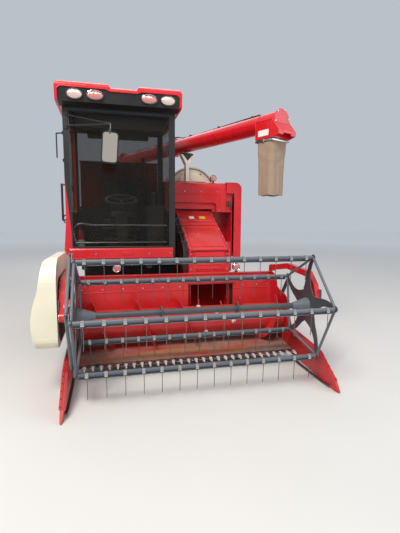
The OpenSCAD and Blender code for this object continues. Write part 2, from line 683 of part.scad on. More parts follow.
// Unloader
module at_post() {
    placed() translate([post_x, post_y, 0]) rotate(boom_angle) children();
}
module unloader_base() {
    color(red) placed() {
        translate([post_x, post_y, 1060]) cylinder(h = turntable_h - 1060, d = tube_d + 20, $fn = 48);
        translate([post_x, post_y, turntable_h - 30]) cylinder(h = 30, d = tube_d + 110, $fn = 64);
        block([post_x - 90, tank_y1 + seat, 1170], [post_x + 90, post_y, 1340]);
        block([post_x - 60, tank_y1 + seat, 1800], [post_x + 60, post_y - 60, 1860]);
        translate([post_x, post_y, 1030]) cylinder(h = 30, d = tube_d + 60, $fn = 48);
    }
}
// Start of the outlet box along the boom, and the pins of the boom and its cylinder
outlet_x0 = boom_len - 240;
boom_eye = [560, boom_h - tube_d / 2 - 36];
boom_foot = [135, tank_h + 20];
hinge_at = [225, boom_h + tube_d / 2 + 26];
module turning_post() {
    color(red) at_post() {
        difference() {
            union() {
                translate([0, 0, turntable_h + seat]) cylinder(h = 30, d = tube_d + 110, $fn = 64);
                translate([0, 0, turntable_h + 20]) cylinder(h = boom_h - turntable_h - 20, d = tube_d, $fn = 48);
                translate([0, 0, boom_h]) sphere(d = tube_d, $fn = 48);
                translate([0, 0, boom_h]) rotate([0, 90, 0]) cylinder(h = 190, d = tube_d, $fn = 48);
                translate([176, 0, boom_h]) rotate([0, 90, 0]) cylinder(h = 14, d = tube_d + 60, $fn = 48);
                for (y = [-60, 46]) translate([0, y, 0]) rotate([90, 0, 0]) mirror([0, 0, 1]) linear_extrude(14)
                    polygon(concat([[100, boom_h + 60], [180, boom_h + 60], [188, hinge_at.y - 26]], arc(hinge_at, 26, -90, 180, 8)));
                for (y = [-34, 22]) translate([0, y, 0]) rotate([90, 0, 0]) mirror([0, 0, 1]) linear_extrude(12)
                    polygon(concat([[90, boom_foot.y + 60], [90, boom_foot.y - 60]], arc(boom_foot, 26, -60, 60, 8)));
            }
            translate([hinge_at.x, -70, hinge_at.y]) rotate([-90, 0, 0]) cylinder(h = 140, d = pin_d + 2 * pin_gap, $fn = 32);
        }
        translate([boom_foot.x, -40, boom_foot.y]) rotate([-90, 0, 0]) cylinder(h = 80, d = pin_d, $fn = 32);
    }
}
module boom_tube() {
    x0 = 196;
    box_z = boom_h - tube_d / 2 - 90;
    hood = [[boom_len, box_z], [boom_len + 88, box_z + 24], [boom_len + 88, box_z + 66], [boom_len, boom_h - 14]];
    color(red) at_post() {
        difference() {
            union() {
                translate([x0, 0, boom_h]) rotate([0, 90, 0]) cylinder(h = boom_len - x0, d = tube_d, $fn = 48);
                translate([x0, 0, boom_h]) rotate([0, 90, 0]) cylinder(h = 14, d = tube_d + 60, $fn = 48);
                translate([flange_at - 14, 0, boom_h]) rotate([0, 90, 0]) cylinder(h = 28, d = tube_d + 60, $fn = 48);
                translate([boom_len, 0, boom_h]) rotate([0, 90, 0]) cylinder(h = 10, d = tube_d + 30, $fn = 48);
                block([outlet_x0, -135, box_z], [boom_len, 135, boom_h]);
                translate([0, -135, 0]) rotate([90, 0, 0]) mirror([0, 0, 1]) linear_extrude(270) polygon(hood);
                for (y = [-38, 26]) translate([0, y, 0]) rotate([90, 0, 0]) mirror([0, 0, 1]) linear_extrude(12)
                    polygon(concat([[boom_eye.x + 60, boom_h - tube_d / 2 + 30], [boom_eye.x - 60, boom_h - tube_d / 2 + 30]],
                        arc(boom_eye, 24, 200, 340, 8)));
                translate([0, -40, 0]) rotate([90, 0, 0]) mirror([0, 0, 1]) linear_extrude(80)
                    polygon(concat([[300, boom_h + tube_d / 2 - 20], [260, boom_h + tube_d / 2 - 20]],
                        arc(hinge_at, 22, 240, 60, 8)));
            }
            for (y = [-66, 40])
                block([x0 - 1, y, boom_h + tube_d / 2 - 8], [x0 + 15, y + 26, boom_h + tube_d]);
            block([x0 - 1, -44, boom_h - tube_d], [x0 + 15, 44, boom_h - tube_d / 2 - 3]);
            block([outlet_x0 + 10, -125, box_z - 1], [boom_len - 10, 125, boom_h - tube_d / 2 + 20]);
            translate([0, -125, 0]) rotate([90, 0, 0]) mirror([0, 0, 1]) linear_extrude(250)
                polygon([[boom_len + 10, box_z - 1], [boom_len + 78, box_z + 16], [boom_len + 78, box_z + 60],
                    [boom_len + 10, boom_h - 34]]);
            translate([boom_len + 20, 0, box_z + 6]) rotate([0, 90, 0]) cylinder(h = 80, r = 66, $fn = 48);
        }
        translate([hinge_at.x, -64, hinge_at.y]) rotate([-90, 0, 0]) cylinder(h = 128, d = pin_d, $fn = 32);
        translate([boom_eye.x, -42, boom_eye.y]) rotate([-90, 0, 0]) cylinder(h = 84, d = pin_d, $fn = 32);
    }
}
module sleeve() {
    top = boom_h - tube_d / 2 - 90 - seat;
    color("tan") at_post() block([outlet_x0, -sleeve_w / 2, top - sleeve_len], [boom_len, sleeve_w / 2, top]);
}
module boom_rest() {
    at = flange_at + 266;
    top = boom_h - tube_d / 2 - pad_room;
    base = hood_h + seat;
    color(cream) at_post() {
        block([at - 25, -25, base], [at + 25, 25, top - 120]);
        block([at - 70, -60, base], [at + 70, 60, base + 8]);
        translate([at - 30, 0, 0]) rotate([90, 0, 90]) linear_extrude(60) polygon([[-26, top - 130], [26, top - 130],
            [tube_d / 2 + 10, top], [tube_d / 2 - 20, top], [0, top - 80], [-tube_d / 2 + 20, top], [-tube_d / 2 - 10, top]]);
    }
}
module boom_barrel() color(dark) at_post() rotate(-90) barrel(boom_foot, boom_eye, 0, 44, 0.62);
module boom_rod() color(steel) at_post() rotate(-90) rod(boom_foot, boom_eye, 0, 44, 0.62, 4.8);
module header_barrel() color(dark) placed() barrel(header_lift_foot, header_lift_eye, lift_x, 50, 0.62);
module header_rod() color(steel) placed() rod(header_lift_foot, header_lift_eye, lift_x, 50, 0.62, 2.6);
module reel_barrels() color(dark) placed() for (s = [-1, 1]) barrel(reel_lift_foot, reel_lift_eye, s * arm_mid, 34, 0.62);
module reel_rods() color(steel) placed() for (s = [-1, 1]) rod(reel_lift_foot, reel_lift_eye, s * arm_mid, 34, 0.62, 2.9);

// Cab
module cab_frame() {
    p = post_s;
    z0 = cab_floor_h;
    z1 = glass_top_h + 10;
    color(black) placed() {
        block([cab_x0, cab_y + 20, z0 - 80], [cab_x1, cab_y1, z0]);
        for (x = [cab_x0, cab_x1 - p]) for (y = [cab_y, cab_y1 - p])
            block([x, y, z0], [x + p, y + p, z1]);
        for (y = [cab_y, cab_y1 - p])
            block([cab_x0 + p, y, z1 - 50], [cab_x1 - p, y + p, z1]);
        for (x = [cab_x0, cab_x1 - p])
            block([x, cab_y + p, z1 - 50], [x + p, cab_y1 - p, z1]);
        block([cab_x0 + p, cab_y, z0], [cab_x1 - p, cab_y + p, sill_h]);
        block([cab_x1 - p, cab_y + p, z0], [cab_x1, cab_y1 - p, z0 + 260]);
        block([cab_x0 + p, cab_y1 - p, z0], [cab_x1 - p, cab_y1, z0 + 560]);
        for (z = hinge_z) {
            translate([cab_x0 - hinge_out, cab_y1 - p - 6, z + 50 + seat]) cylinder(h = 40, d = hinge_d, $fn = 32);
            block([cab_x0 - hinge_out - 4, cab_y1 - p - 4, z + 50 + seat], [cab_x0 + 5, cab_y1 - p + 30, z + 90 + seat]);
        }
    }
}
module cab_glass() {
    p = post_s;
    z1 = glass_top_h - 40 - seat;
    color("gray", 0.5) placed() {
        block([cab_x0 + p + seat, cab_y + 6, sill_h + seat], [cab_x1 - p - seat, cab_y + 6 + glass_t, z1]);
        block([cab_x0 + p + seat, cab_y1 - 30, cab_floor_h + 560 + seat], [cab_x1 - p - seat, cab_y1 - 30 + glass_t, z1]);
        block([cab_x1 - 30, cab_y + p + seat, cab_floor_h + 260 + seat], [cab_x1 - 30 + glass_t, cab_y1 - p - seat, z1]);
    }
}
door_t = 36;
// Knuckles of the door's hinges: their distance from the cab's side, diameter and heights
hinge_out = 10;
hinge_d = 16;
hinge_z = [cab_floor_h + 120, cab_floor_h + 760, cab_floor_h + 1400];
module door_frame() {
    x0 = cab_x0 + 6;
    y0 = cab_y + post_s + 6;
    y1 = cab_y1 - post_s - 6;
    z0 = cab_floor_h + 6;
    z1 = glass_top_h - 46;
    color(red) placed() difference() {
        union() {
            profile(x0, x0 + door_t) polygon(round_rect([y0, z0], [y1, z1], 40));
            bar([x0 - 50, y0 + 60, z0 + 384], [x0 - 50, y0 + 60, z0 + 784], 24);
            for (z = [z0 + 394, z0 + 774]) bar([x0 - 50, y0 + 60, z], [x0 + 5, y0 + 60, z], 20);
            for (z = hinge_z) {
                translate([cab_x0 - hinge_out, y1, z]) cylinder(h = 50, d = hinge_d, $fn = 32);
                block([cab_x0 - hinge_out - 4, y1 - 40, z], [x0 + 5, y1, z + 50]);
            }
        }
        profile(x0 - 1, x0 + door_t + 1) polygon(round_rect([y0 + 60, z0 + 480], [y1 - 60, z1 - 60], 60));
    }
}
module door_glass() {
    x0 = cab_x0 + 6;
    color("gray", 0.5) placed() profile(x0 + 14, x0 + 14 + glass_t)
        polygon(round_rect([cab_y + post_s + 66 + seat, cab_floor_h + 486 + seat],
            [cab_y1 - post_s - 66 - seat, glass_top_h - 106 - seat], 60));
}
// Roof: half its width, its front and rear, the middle and half width of the dip along its top
roof_w = cab_w / 2 + 55;
roof_y0 = cab_y - roof_over;
roof_y1 = cab_y1 + 50;
roof_z0 = glass_top_h + 10 + seat;
dip_x = 35;
dip_w = 135;
dip_h = 33;
rim = 27;
function roof_side(drop) = concat([[roof_y0 + 20, roof_z0 + 12], [cab_y - 30, roof_z0], [roof_y1, roof_z0]],
    arc([roof_y1 - 60, roof_h - 100 - drop], 60, 0, 80, 6),
    [[roof_y1 - 200, roof_h - drop], [cab_y + 160, roof_h - drop], [roof_y0 + 60, roof_h - 32 - drop]],
    arc([roof_y0 + 34, roof_h - 84 - drop], 34, 110, 200, 6));
// The black front under the roof's rim, seen from the front, with its edge drawn in by gap
function fascia_line(gap) = let(w = roof_w - rim - gap, z = roof_h - 95 - gap, d = dip_w + gap)
    [[-w, roof_z0 - 100], [w, roof_z0 - 100], [w, z - 26], [w - 26, z], [dip_x + d + 48, z], [dip_x + d, z - 18],
    [dip_x - d, z - 18], [dip_x - d - 48, z], [-w + 26, z], [-w, z - 26]];
module cab_roof() {
    high = roof_h + 20;
    color(red) placed() translate([cab_x, 0, 0]) difference() {
        union() {
            for (s = [-1, 1]) intersection() {
                front_profile(roof_y0, roof_y1) polygon([[s * roof_w, roof_z0 - 5], [dip_x + s * dip_w, roof_z0 - 5],
                    [dip_x + s * dip_w, roof_h - 90], [dip_x + s * (dip_w + 60), high], [s * (roof_w - 60), high],
                    [s * roof_w, roof_h - 90]]);
                profile(-roof_w, roof_w) polygon(roof_side(0));
            }
            profile(dip_x - dip_w - 70, dip_x + dip_w + 70) polygon(roof_side(dip_h));
        }
        front_profile(roof_y0 - 1, cab_y + 30) polygon(fascia_line(0));
    }
}
// The roof lamps: their diameter and places along the cab
lamp_d = 72;
lamp_x = [-453, -231, 309, 494];
module lamp_fascia() {
    color(black) placed() translate([cab_x, 0, 0]) difference() {
        intersection() {
            front_profile(roof_y0, cab_y + 30 - seat) polygon(fascia_line(seat));
            profile(-roof_w, roof_w) polygon([[roof_y0 + 10, roof_h], [roof_y0 + 10, roof_h - 110],
                [roof_y0 + 34, glass_top_h + 14], [cab_y - 30, glass_top_h - 10], [cab_y - seat, glass_top_h - 10],
                [cab_y - seat, roof_z0], [cab_y + 40, roof_z0], [cab_y + 40, roof_h]]);
        }
        for (x = lamp_x) translate([x, roof_y0 + 22 + seat, roof_h - 158]) rotate([90, 0, 0])
            cylinder(h = 60, d = lamp_d + 2 * seat, $fn = 40);
    }
}
module lamps() {
    color("mistyrose") placed() {
        for (x = lamp_x)
            translate([cab_x + x, roof_y0 + 22, roof_h - 158]) rotate([90, 0, 0])
                cylinder(h = 24, d = lamp_d, $fn = 40);
        work_lamp([cab_x - 71, cab_y + 35, cab_floor_h - 140]);
        block([cab_x - 81, cab_y + 25, cab_floor_h - 100], [cab_x - 61, cab_y + 45, cab_floor_h - 80 - seat]);
        work_lamp([660, thresher_y + 50, hood_h + 60]);
        block([650, thresher_y + 30, hood_h + seat], [670, thresher_y + 70, hood_h + 24]);
    }
}
// A round lamp that looks ahead, at its middle
module work_lamp(at) {
    translate(at) rotate([90, 0, 0]) cylinder(h = 40, d = 90, center = true, $fn = 40);
}
module front_panel() {
    color(red) placed() profile(cab_x0 + 30, cab_x1 - 30)
        polygon([[cab_y - seat, sill_h - 6], [cab_y - 22, sill_h - 6], [cab_y - 30, sill_h - 20],
            [cab_y - 30, cab_floor_h - 14], [cab_y - seat, cab_floor_h - 60]]);
}
module cab_seat() {
    color(dark) placed() translate([cab_x, cab_y + 640, 0]) {
        block([-200, -180, cab_floor_h], [200, 160, cab_floor_h + 300]);
        profile(-250, 250) polygon(round_rect([-260, cab_floor_h + 300], [220, cab_floor_h + 410], 40));
        translate([0, 200, cab_floor_h + 380]) rotate([-10, 0, 0])
            profile(-240, 240) polygon(round_rect([-60, 0], [60, 560], 50));
    }
}
module cab_console() {
    color(dark) placed() translate([cab_x, cab_y, 0]) {
        block([-60, 180, cab_floor_h], [60, 300, cab_floor_h + 480]);
        translate([0, 250, cab_floor_h + 480]) rotate([20, 0, 0]) {
            cylinder(h = 160, d = 50, $fn = 32);
            translate([0, 0, 146]) difference() {
                cylinder(h = 26, r = 184, $fn = 64);
                translate([0, 0, -1]) cylinder(h = 28, r = 158, $fn = 64);
            }
            for (k = [0:2]) rotate(k * 120 + 30) block([10, -12, 152], [165, 12, 162]);
        }
        block([300, 300, cab_floor_h], [500, 900, cab_floor_h + 560]);
        for (y = [420, 520, 620]) translate([400, y, cab_floor_h + 540]) cylinder(h = 170, d = 18, $fn = 24);
    }
}
module extinguisher() {
    color(red) placed() translate([cab_x0 + 130, cab_y + 140, cab_floor_h + seat]) {
        cylinder(h = 250, d = 90, $fn = 40);
        translate([0, 0, 250]) cylinder(h = 50, d1 = 80, d2 = 30, $fn = 40);
    }
}
module cab_mirrors() {
    x0 = cab_x0 + 10;
    z0 = glass_top_h - 461;
    color(black) placed() {
        translate([cab_x - 118, cab_y - 330, z0]) rotate([0, 4, 0]) front_profile(-14, 14)
            polygon(round_rect([-82, -154], [82, 154], 34));
        block([x0, cab_y - 12, z0 + 230], [x0 + 40, cab_y - seat, z0 + 400]);
        pipe([[x0 + 20, cab_y - 10, z0 + 260], [cab_x - 107, cab_y - 310, z0 + 230], [cab_x - 110, cab_y - 330, z0 + 140]], 16);
        pipe([[x0 + 20, cab_y - 10, z0 + 370], [cab_x - 105, cab_y - 308, z0 + 234]], 12);
        for (z = [z0 - 90, z0 + 190])
            block([cab_x0 - 12, cab_y + 8, z - 16], [cab_x0 - seat, cab_y + 40, z + 16]);
        pipe([[cab_x0 - 8, cab_y + 24, z0 + 190], [cab_x0 - 60, cab_y - 40, z0 + 170], [cab_x0 - 60, cab_y - 40, z0 - 70],
            [cab_x0 - 8, cab_y + 24, z0 - 90]], 14);
    }
}

// Header
inlet = [[feeder_x - feeder_w / 2 - 20, 210], [feeder_x + feeder_w / 2 + 20, 760]];
module header_pan() {
    wall = wall_y;
    color(red) placed() difference() {
        union() {
            profile(-side_x, side_x) {
                difference() {
                    polygon(concat(arc([auger_y, auger_h], trough_r + plate_t, 262, 360, 16),
                        [[auger_y, auger_h]]));
                    polygon(concat(arc([auger_y, auger_h], trough_r, 255, 365, 18), [[auger_y - 5, auger_h + 10]]));
                }
                polygon([[knife_y, knife_h - 8], [auger_y - 30, auger_h - trough_r - plate_t],
                    [auger_y - 30, auger_h - trough_r + 2], [knife_y, knife_h]]);
                polygon([[wall, auger_h], [wall + plate_t, auger_h], [wall + plate_t, header_h], [wall, header_h]]);
            }
            block([-side_x, wall + plate_t, header_h - beam_s], [side_x, wall + plate_t + beam_s, header_h]);
            block([-side_x, wall + plate_t, auger_h - 260], [side_x, wall + plate_t + beam_s, auger_h - 200]);
            for (u = [[-side_x + 40, beam_s], [-side_x + 700, beam_s], [lift_x - 36, 72], [side_x - 100, beam_s]])
                block([u.x, wall + plate_t, auger_h - 200], [u.x + u.y, wall + plate_t + beam_s, header_h - beam_s]);
            for (x = [-side_x + 100, -side_x + 800, side_x - 700, side_x - 160])
                profile(x, x + 60) polygon([[knife_y + 60, knife_h - 22], [auger_y, 110], [wall + plate_t, 120],
                    [wall + plate_t, auger_h - 200], [wall - 20, auger_h - 200], [auger_y + 60, auger_h - trough_r],
                    [knife_y + 60, knife_h - 2]]);
        }
        block([inlet[0].x, wall - 1, inlet[0].y], [inlet[1].x, wall + plate_t + beam_s + 1, inlet[1].y]);
        block([inlet[0].x, auger_y + 100, inlet[0].y], [inlet[1].x, wall + 1, auger_h + 1]);
    }
    y0 = wall_y + plate_t + beam_s - 5;
    color(red) placed() {
        for (s = [-1, 1])
            ear(lift_x + s * 28 - 6, lift_x + s * 28 + 6, header_lift_eye, 24,
                [[y0, header_lift_eye.y + 55], [y0, header_lift_eye.y - 55]]);
        cross_rod(lift_x - 34, lift_x + 34, header_lift_eye, pin_d);
    }
}
module header_lamp() {
    color("mistyrose") placed() {
        work_lamp([690, wall_y + 40, header_h + 62]);
        block([680, wall_y + 20, header_h + seat], [700, wall_y + 60, header_h + 26]);
    }
}
module side_plates() {
    outline = concat([[wall_y + plate_t + beam_s, 120], [wall_y + plate_t + beam_s, header_h],
        [wall_y - 20, header_h]], arc([wall_y - 20, header_h - 150], 150, 90, 180, 6),
        [[wall_y - 260, 705], [wall_y - 330, 690]], arc([wall_y - 330, 550], 140, 90, 180, 6),
        [[knife_y + 40, 330], [-110, 262], [-divider_reach + 60, 80], [-divider_reach + 120, 60], [knife_y, 96]]);
    color(red) placed() for (s = [-1, 1]) {
        difference() {
            profile(s * (side_x + plate_t / 2) - plate_t / 2, s * (side_x + plate_t / 2) + plate_t / 2) polygon(outline);
            cross_rod(s * side_x - 20, s * side_x + 20, [auger_y, auger_h], shaft_d + 2 * pin_gap);
        }
        for (at = [arm_pivot, reel_lift_foot])
            cross_rod(s > 0 ? side_x + plate_t : -side_x - plate_t - arm_w - 12,
                s > 0 ? side_x + plate_t + arm_w + 12 : -side_x - plate_t, at, at == arm_pivot ? 30 : pin_d);
        profile(s > 0 ? side_x : -side_x - plate_t, s > 0 ? side_x + plate_t : -side_x)
            polygon([[arm_pivot.x - 60, header_h - 10], [arm_pivot.x + 38, header_h - 10],
                [arm_pivot.x + 30, arm_pivot.y + 30], [arm_pivot.x - 30, arm_pivot.y + 30]]);
    }
}
module dividers() {
    color(red) placed() for (s = [-1, 1]) intersection() {
        profile(-left_end, left_end) polygon([[-divider_reach, 8], [-divider_reach + 30, 2], [knife_y + 60, 60],
            [knife_y + 60, 330], [-110, 270], [-divider_reach + 60, 88]]);
        translate([s * (side_x + plate_t + seat), 0, 0]) mirror([s < 0 ? 1 : 0, 0, 0])
            linear_extrude(400) polygon([[0, knife_y + 60], [0, -divider_reach + 60], [14, -divider_reach],
                [26, -divider_reach + 4], [44, 100], [44, knife_y + 60]]);
    }
}
module knife_bar() {
    n = floor((cut_w - 40) / 76.2);
    color(cream) placed() {
        block([-side_x + 2, knife_y - 46, knife_h - 6], [side_x - 2, knife_y - seat, knife_h + 6]);
        for (k = [0:n]) translate([(k - n / 2) * 76.2, knife_y, knife_h - 9]) linear_extrude(20)
            polygon([[-13, -40], [-11, -80], [-2, -122], [2, -122], [11, -80], [13, -40]]);
    }
}
module header_cover() {
    x0 = -right_end;
    x1 = -side_x - plate_t - arm_w - 18;
    color(cream) placed() intersection() {
        front_profile(-60, wall_y) polygon(concat([[x1, 430], [x1, 1180], [x1 - 50, 1180]],
            arc([x1 - 60, 1120], 60, 100, 150, 4),
            [[x0 + 60, 930], [x0 + 20, 800], [x0, 690], [x0 + 2, 600], [x0 + 14, 520], [x0 + 30, 450], [x0 + 50, 430]]));
        profile(x0 - 1, x1 + 1) polygon(concat(arc([200, 960], 220, 90, 180, 10), arc([60, 520], 90, 180, 270, 6),
            arc([wall_y - 60, 480], 50, 270, 360, 6), arc([wall_y - 140, 1000], 120, 0, 90, 8), [[wall_y - 200, 1180]]));
    }
    color(cream) placed() for (at = [[auger_y + 140, auger_h + 85], [auger_y - 140, auger_h + 145]])
        cross_rod(x1, -side_x - plate_t - seat, at, 60);
}
module feeder_house() {
    x0 = feeder_x - feeder_w / 2;
    x1 = feeder_x + feeder_w / 2;
    y0 = wall_y + plate_t + beam_s + seat;
    p = feeder_pivot;
    outer = [[y0, 190], [y0, header_h + 10], [y0 + 16, 1165], [p.x - 10, p.y + 300], [p.x + 70, p.y + 270],
        [p.x + 90, p.y - 180], [p.x - 20, p.y - 290], [y0 + 220, 190]];
    inner = [[y0 - 1, 190 + feeder_wall], [y0 - 1, 800], [y0 + 60, 900], [y0 + 60, 1150], [p.x - 20, p.y + 270],
        [p.x + 100, p.y + 240], [p.x + 100, p.y - 160], [p.x - 30, p.y - 262], [y0 + 212, 190 + feeder_wall]];
    color(red) placed() {
        difference() {
            union() {
                profile(x0, x1) polygon(outer);
                profile(x0 + 50, x1 - 60) polygon([[y0 - 8, header_h + 20], [y0 + 8, 1150], [y0 + 20, 1150], [y0 + 10, header_h + 20]]);
            }
            profile(x0 + feeder_wall, x1 - feeder_wall) polygon(inner);
            cross_rod(x0 - 20, x1 + 20, p, pivot_d + 2 * pin_gap, 48);
        }
    }
}
// Pulleys of the feeder's side drive
drive_top = [1800, 1290];
drive_low = [1200, 740];
module feeder_drive() {
    x = feeder_x - feeder_w / 2 - 46;
    pulleys = [[drive_low.x, drive_low.y, 110], [drive_top.x, drive_top.y, 82]];
    count = 64;
    color(dark) placed() {
        profile(x + 8, x + 24) difference() {
            polygon(belt_outline(pulleys, count, [[0, 14], [0.25, 20], [0.6, 20], [0.85, 14]]));
            polygon(belt_outline(pulleys, count, [[0, 3]]));
        }
        for (q = pulleys) {
            profile(x + 10, x + 22) difference() {
                circle_at([q.x, q.y], q[2] + 2.6);
                for (k = [0:4]) circle_at([q.x, q.y] + q[2] * 0.62 * [cos(k * 72), sin(k * 72)], q[2] * 0.2);
            }
            cross_rod(x, x + 46 - seat, [q.x, q.y], 44);
        }
    }
}
module circle_at(c, r) {
    translate(c) circle(r = r, $fn = 48);
}
module header_auger() {
    color(red) placed() {
        cross_rod(-side_x + 10, side_x - 10, [auger_y, auger_h], auger_d, 64);
        cross_rod(-side_x - plate_t - 14, -side_x + 10, [auger_y, auger_h], shaft_d);
        cross_rod(side_x - 10, side_x + plate_t + 14, [auger_y, auger_h], shaft_d);
        for (k = [0:7])
            translate([feeder_x - 210 + k * 60, auger_y, auger_h]) rotate([k * 135, 0, 0])
                cylinder(h = flight_d / 2 - 16, d = 14, $fn = 16);
    }
}
// Thickness of a flight
flight_t = 7;
// A screw blade from x0 to x1: a strip from the tube to the rim, wound with the flights' pitch
module flight(x0, x1, hand, start) {
    turns = (x1 - x0) / flight_pitch;
    n = ceil(turns * 28);
    root = (auger_d / 2 + seat) / cos(180 / 28);
    rim = [[root, -flight_t / 2], [flight_d / 2, -flight_t / 2], [flight_d / 2, flight_t / 2], [root, flight_t / 2]];
    points = [for (i = [0:n]) for (q = rim) let(a = 360 * turns * i / n)
        [q.x * cos(a), q.x * sin(a), (x1 - x0) * i / n + q.y]];
    sides = [for (i = [0:n - 1]) for (j = [0:3]) let(k = (j + 1) % 4)
        each [[4 * i + j, 4 * i + k, 4 * i + 4 + k], [4 * i + j, 4 * i + 4 + k, 4 * i + 4 + j]]];
    translate([x0, auger_y, auger_h]) rotate([0, 90, 0]) rotate(start) mirror([0, hand < 0 ? 1 : 0, 0])
        polyhedron(points, concat([[3, 2, 1, 0], [4 * n, 4 * n + 1, 4 * n + 2, 4 * n + 3]], sides));
}
module auger_flights() {
    color(red) placed() {
        flight(-side_x + 14, feeder_x - feeder_w / 2 + 10, 1, 60);
        flight(feeder_x + feeder_w / 2 - 10, side_x - 14, -1, 200);
    }
}

// Reel
module reel_arms() {
    hanger = [[arm_pivot.x, arm_pivot.y], [wall_y - 380, header_h + 112], [170, header_h + 84], [60, reel_h + 170], [0, reel_h]];
    color(red) placed() for (s = [-1, 1]) {
        x = s > 0 ? arm_x : -arm_x - arm_w;
        difference() {
            union() {
                profile(x, x + arm_w) polygon(band(hanger, 62));
                for (at = [arm_pivot, [0, reel_h]]) cross_rod(x, x + arm_w, at, 84, 40);
                if (s < 0) cross_rod(-arm_x - 10, -ring_x, [ecc.x, reel_h + ecc.y], 2 * ecc_disc_r, 64);
            }
            cross_rod(x - 1, x + arm_w + 1, arm_pivot, 30 + 2 * pin_gap);
            cross_rod(x - 1, s > 0 ? x + arm_w + 1 : -ring_x + 1, [0, reel_h], shaft_d + 2 * pin_gap);
            cross_rod(x + 6, x + arm_w - 6, reel_lift_eye, 60);
            profile(x + 6, x + arm_w - 6) polygon(band([reel_lift_eye, reel_lift_eye + 100 * unit([0.62, -0.78])], 40));
        }
        cross_rod(x, x + arm_w, reel_lift_eye, pin_d);
    }
}
function bat_at(k) = reel_r * [-cos(reel_turn + 72 * k), sin(reel_turn + 72 * k)];
// Half width of a pressed star arm at distances from the hub, as [distance, half width]
arm_form = [[reel_r, 20], [440, 24], [390, 27], [330, 30], [270, 36], [220, 46], [175, 64], [145, 84], [125, 90]];
function arm_bend(d) = -42 * sin(180 * (d - 125) / (reel_r - 125));
// One broad arm from valley to valley, the arms of a star making one outline
function arm_outline() = concat(
    [for (i = [len(arm_form) - 1:-1:0]) [arm_form[i].x, arm_bend(arm_form[i].x) - arm_form[i].y]],
    [for (q = arm_form) [q.x, arm_bend(q.x) + q.y]]);
function turned(p, a) = [for (q = p) [q.x * cos(a) - q.y * sin(a), q.x * sin(a) + q.y * cos(a)]];
// The five tips and the bars between them
module star_rim() {
    for (k = [0:4]) rotate(-72 * k - reel_turn + 180) {
        translate([reel_r, 0]) circle(r = tip_r, $fn = 32);
        rotate(36) translate([reel_r * cos(36), 0]) square([18, 2 * reel_r * sin(36)], center = true);
    }
}
// The pressed star at the reel's ends, in Y and Z about the reel's axis
module star_2d() {
    difference() {
        union() {
            polygon([for (k = [0:4]) each turned(arm_outline(), 72 * k - reel_turn + 180)]);
            star_rim();
        }
        circle(r = shaft_d / 2 - 1, $fn = 48);
        for (k = [0:4]) translate(bat_at(k)) circle(r = pin_d / 2 + pin_gap, $fn = 24);
    }
}
// The eccentric ring's plainer star about its own middle
module ring_2d() {
    difference() {
        union() {
            circle(r = ecc_disc_r + 28, $fn = 48);
            for (k = [0:4]) rotate(-72 * k - reel_turn + 180)
                polygon(band([for (i = [0:8]) [reel_r * i / 8, -42 * sin(180 * i / 8)]], 30));
            star_rim();
        }
        circle(r = ecc_disc_r + pin_gap, $fn = 48);
        for (k = [0:4]) translate(bat_at(k)) circle(r = 8 + pin_gap, $fn = 24);
    }
}
module reel_frame() {
    color(steel) placed() {
        cross_rod(-star_x + seat, star_x - seat, [0, reel_h], reel_tube_d, 40);
        cross_rod(-arm_x - arm_w - 6, arm_x + arm_w + 6, [0, reel_h], shaft_d);
        for (s = [-1, 1])
            profile(s > 0 ? star_x : -star_x - star_t, s > 0 ? star_x + star_t : -star_x)
                translate([0, reel_h]) star_2d();
        for (x = [-reel_w / 6, reel_w / 6])
            profile(x - 4, x + 4) translate([0, reel_h]) difference() {
                circle(r = 60, $fn = 40);
                circle(r = reel_tube_d / 2 - 1, $fn = 40);
            }
    }
}
module ecc_ring() {
    color(steel) placed() profile(-ring_x - star_t, -ring_x) translate([ecc.x, reel_h + ecc.y]) ring_2d();
}
module bat(k) {
    at = bat_at(k) + [0, reel_h];
    n = floor((reel_w - 90) / tine_gap);
    color(steel) placed() {
        cross_rod(-bat_end, bat_end, at, bat_d);
        block([-bat_end + 10, at.x + 6, at.y - 34], [bat_end - 10, at.x + 11, at.y - 6]);
        cross_rod(-crank_x - 8, -bat_end, at, pin_d);
        cross_rod(bat_end, star_x + star_t + 10, at, pin_d);
        for (i = [0:n]) translate([(i - n / 2) * tine_gap, at.x, at.y - tine_len]) {
            cylinder(h = tine_len, d = tine_d, $fn = 16);
            translate([-15, -20, tine_len - 26]) cube([30, 26, 40]);
        }
        profile(-crank_x - 8, -crank_x) polygon(band([at - unit(ecc) * 14, at + ecc + unit(ecc) * 12], 28));
        cross_rod(-ring_x - star_t - 4, -crank_x - 8, at + ecc, 16);
    }
}
module bat_1() bat(0);
module bat_2() bat(1);
module bat_3() bat(2);
module bat_4() bat(3);
module bat_5() bat(4);

chassis_frame();
gearbox();
track_left();
track_right();
track_beams();
track_wheels();
thresher();
thresher_hood();
drum_cover();
side_shield();
straw_hood();
grain_tank();
grain_elevator();
engine_block();
engine_bay();
screen_door();
fuel_tank();
exhaust();
steps();
unloader_base();
boom_rest();
cab_frame();
cab_roof();
lamp_fascia();
lamps();
front_panel();
cab_glass();
cab_seat();
cab_console();
extinguisher();
cab_mirrors();
door_frame();
door_glass();
header_pan();
side_plates();
dividers();
knife_bar();
header_cover();
header_lamp();
feeder_house();
feeder_drive();
header_auger();
auger_flights();
reel_arms();
reel_frame();
ecc_ring();
bat_1();
bat_2();
bat_3();
bat_4();
bat_5();
turning_post();
boom_tube();
sleeve();
header_barrel();
header_rod();
reel_barrels();
reel_rods();
boom_barrel();
boom_rod();
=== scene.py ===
"""Crawler combine harvester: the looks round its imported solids.

Lengths in the classes are millimetres in the header's frame: x = 0 is the header's middle and grows
to the machine's left, y = 0 is the reel's axis and grows to the rear, z = 0 is the ground.
"""
from __future__ import annotations

import json
import logging
import math
from dataclasses import dataclass, field
from enum import Enum
from typing import Callable, Iterable, Sequence

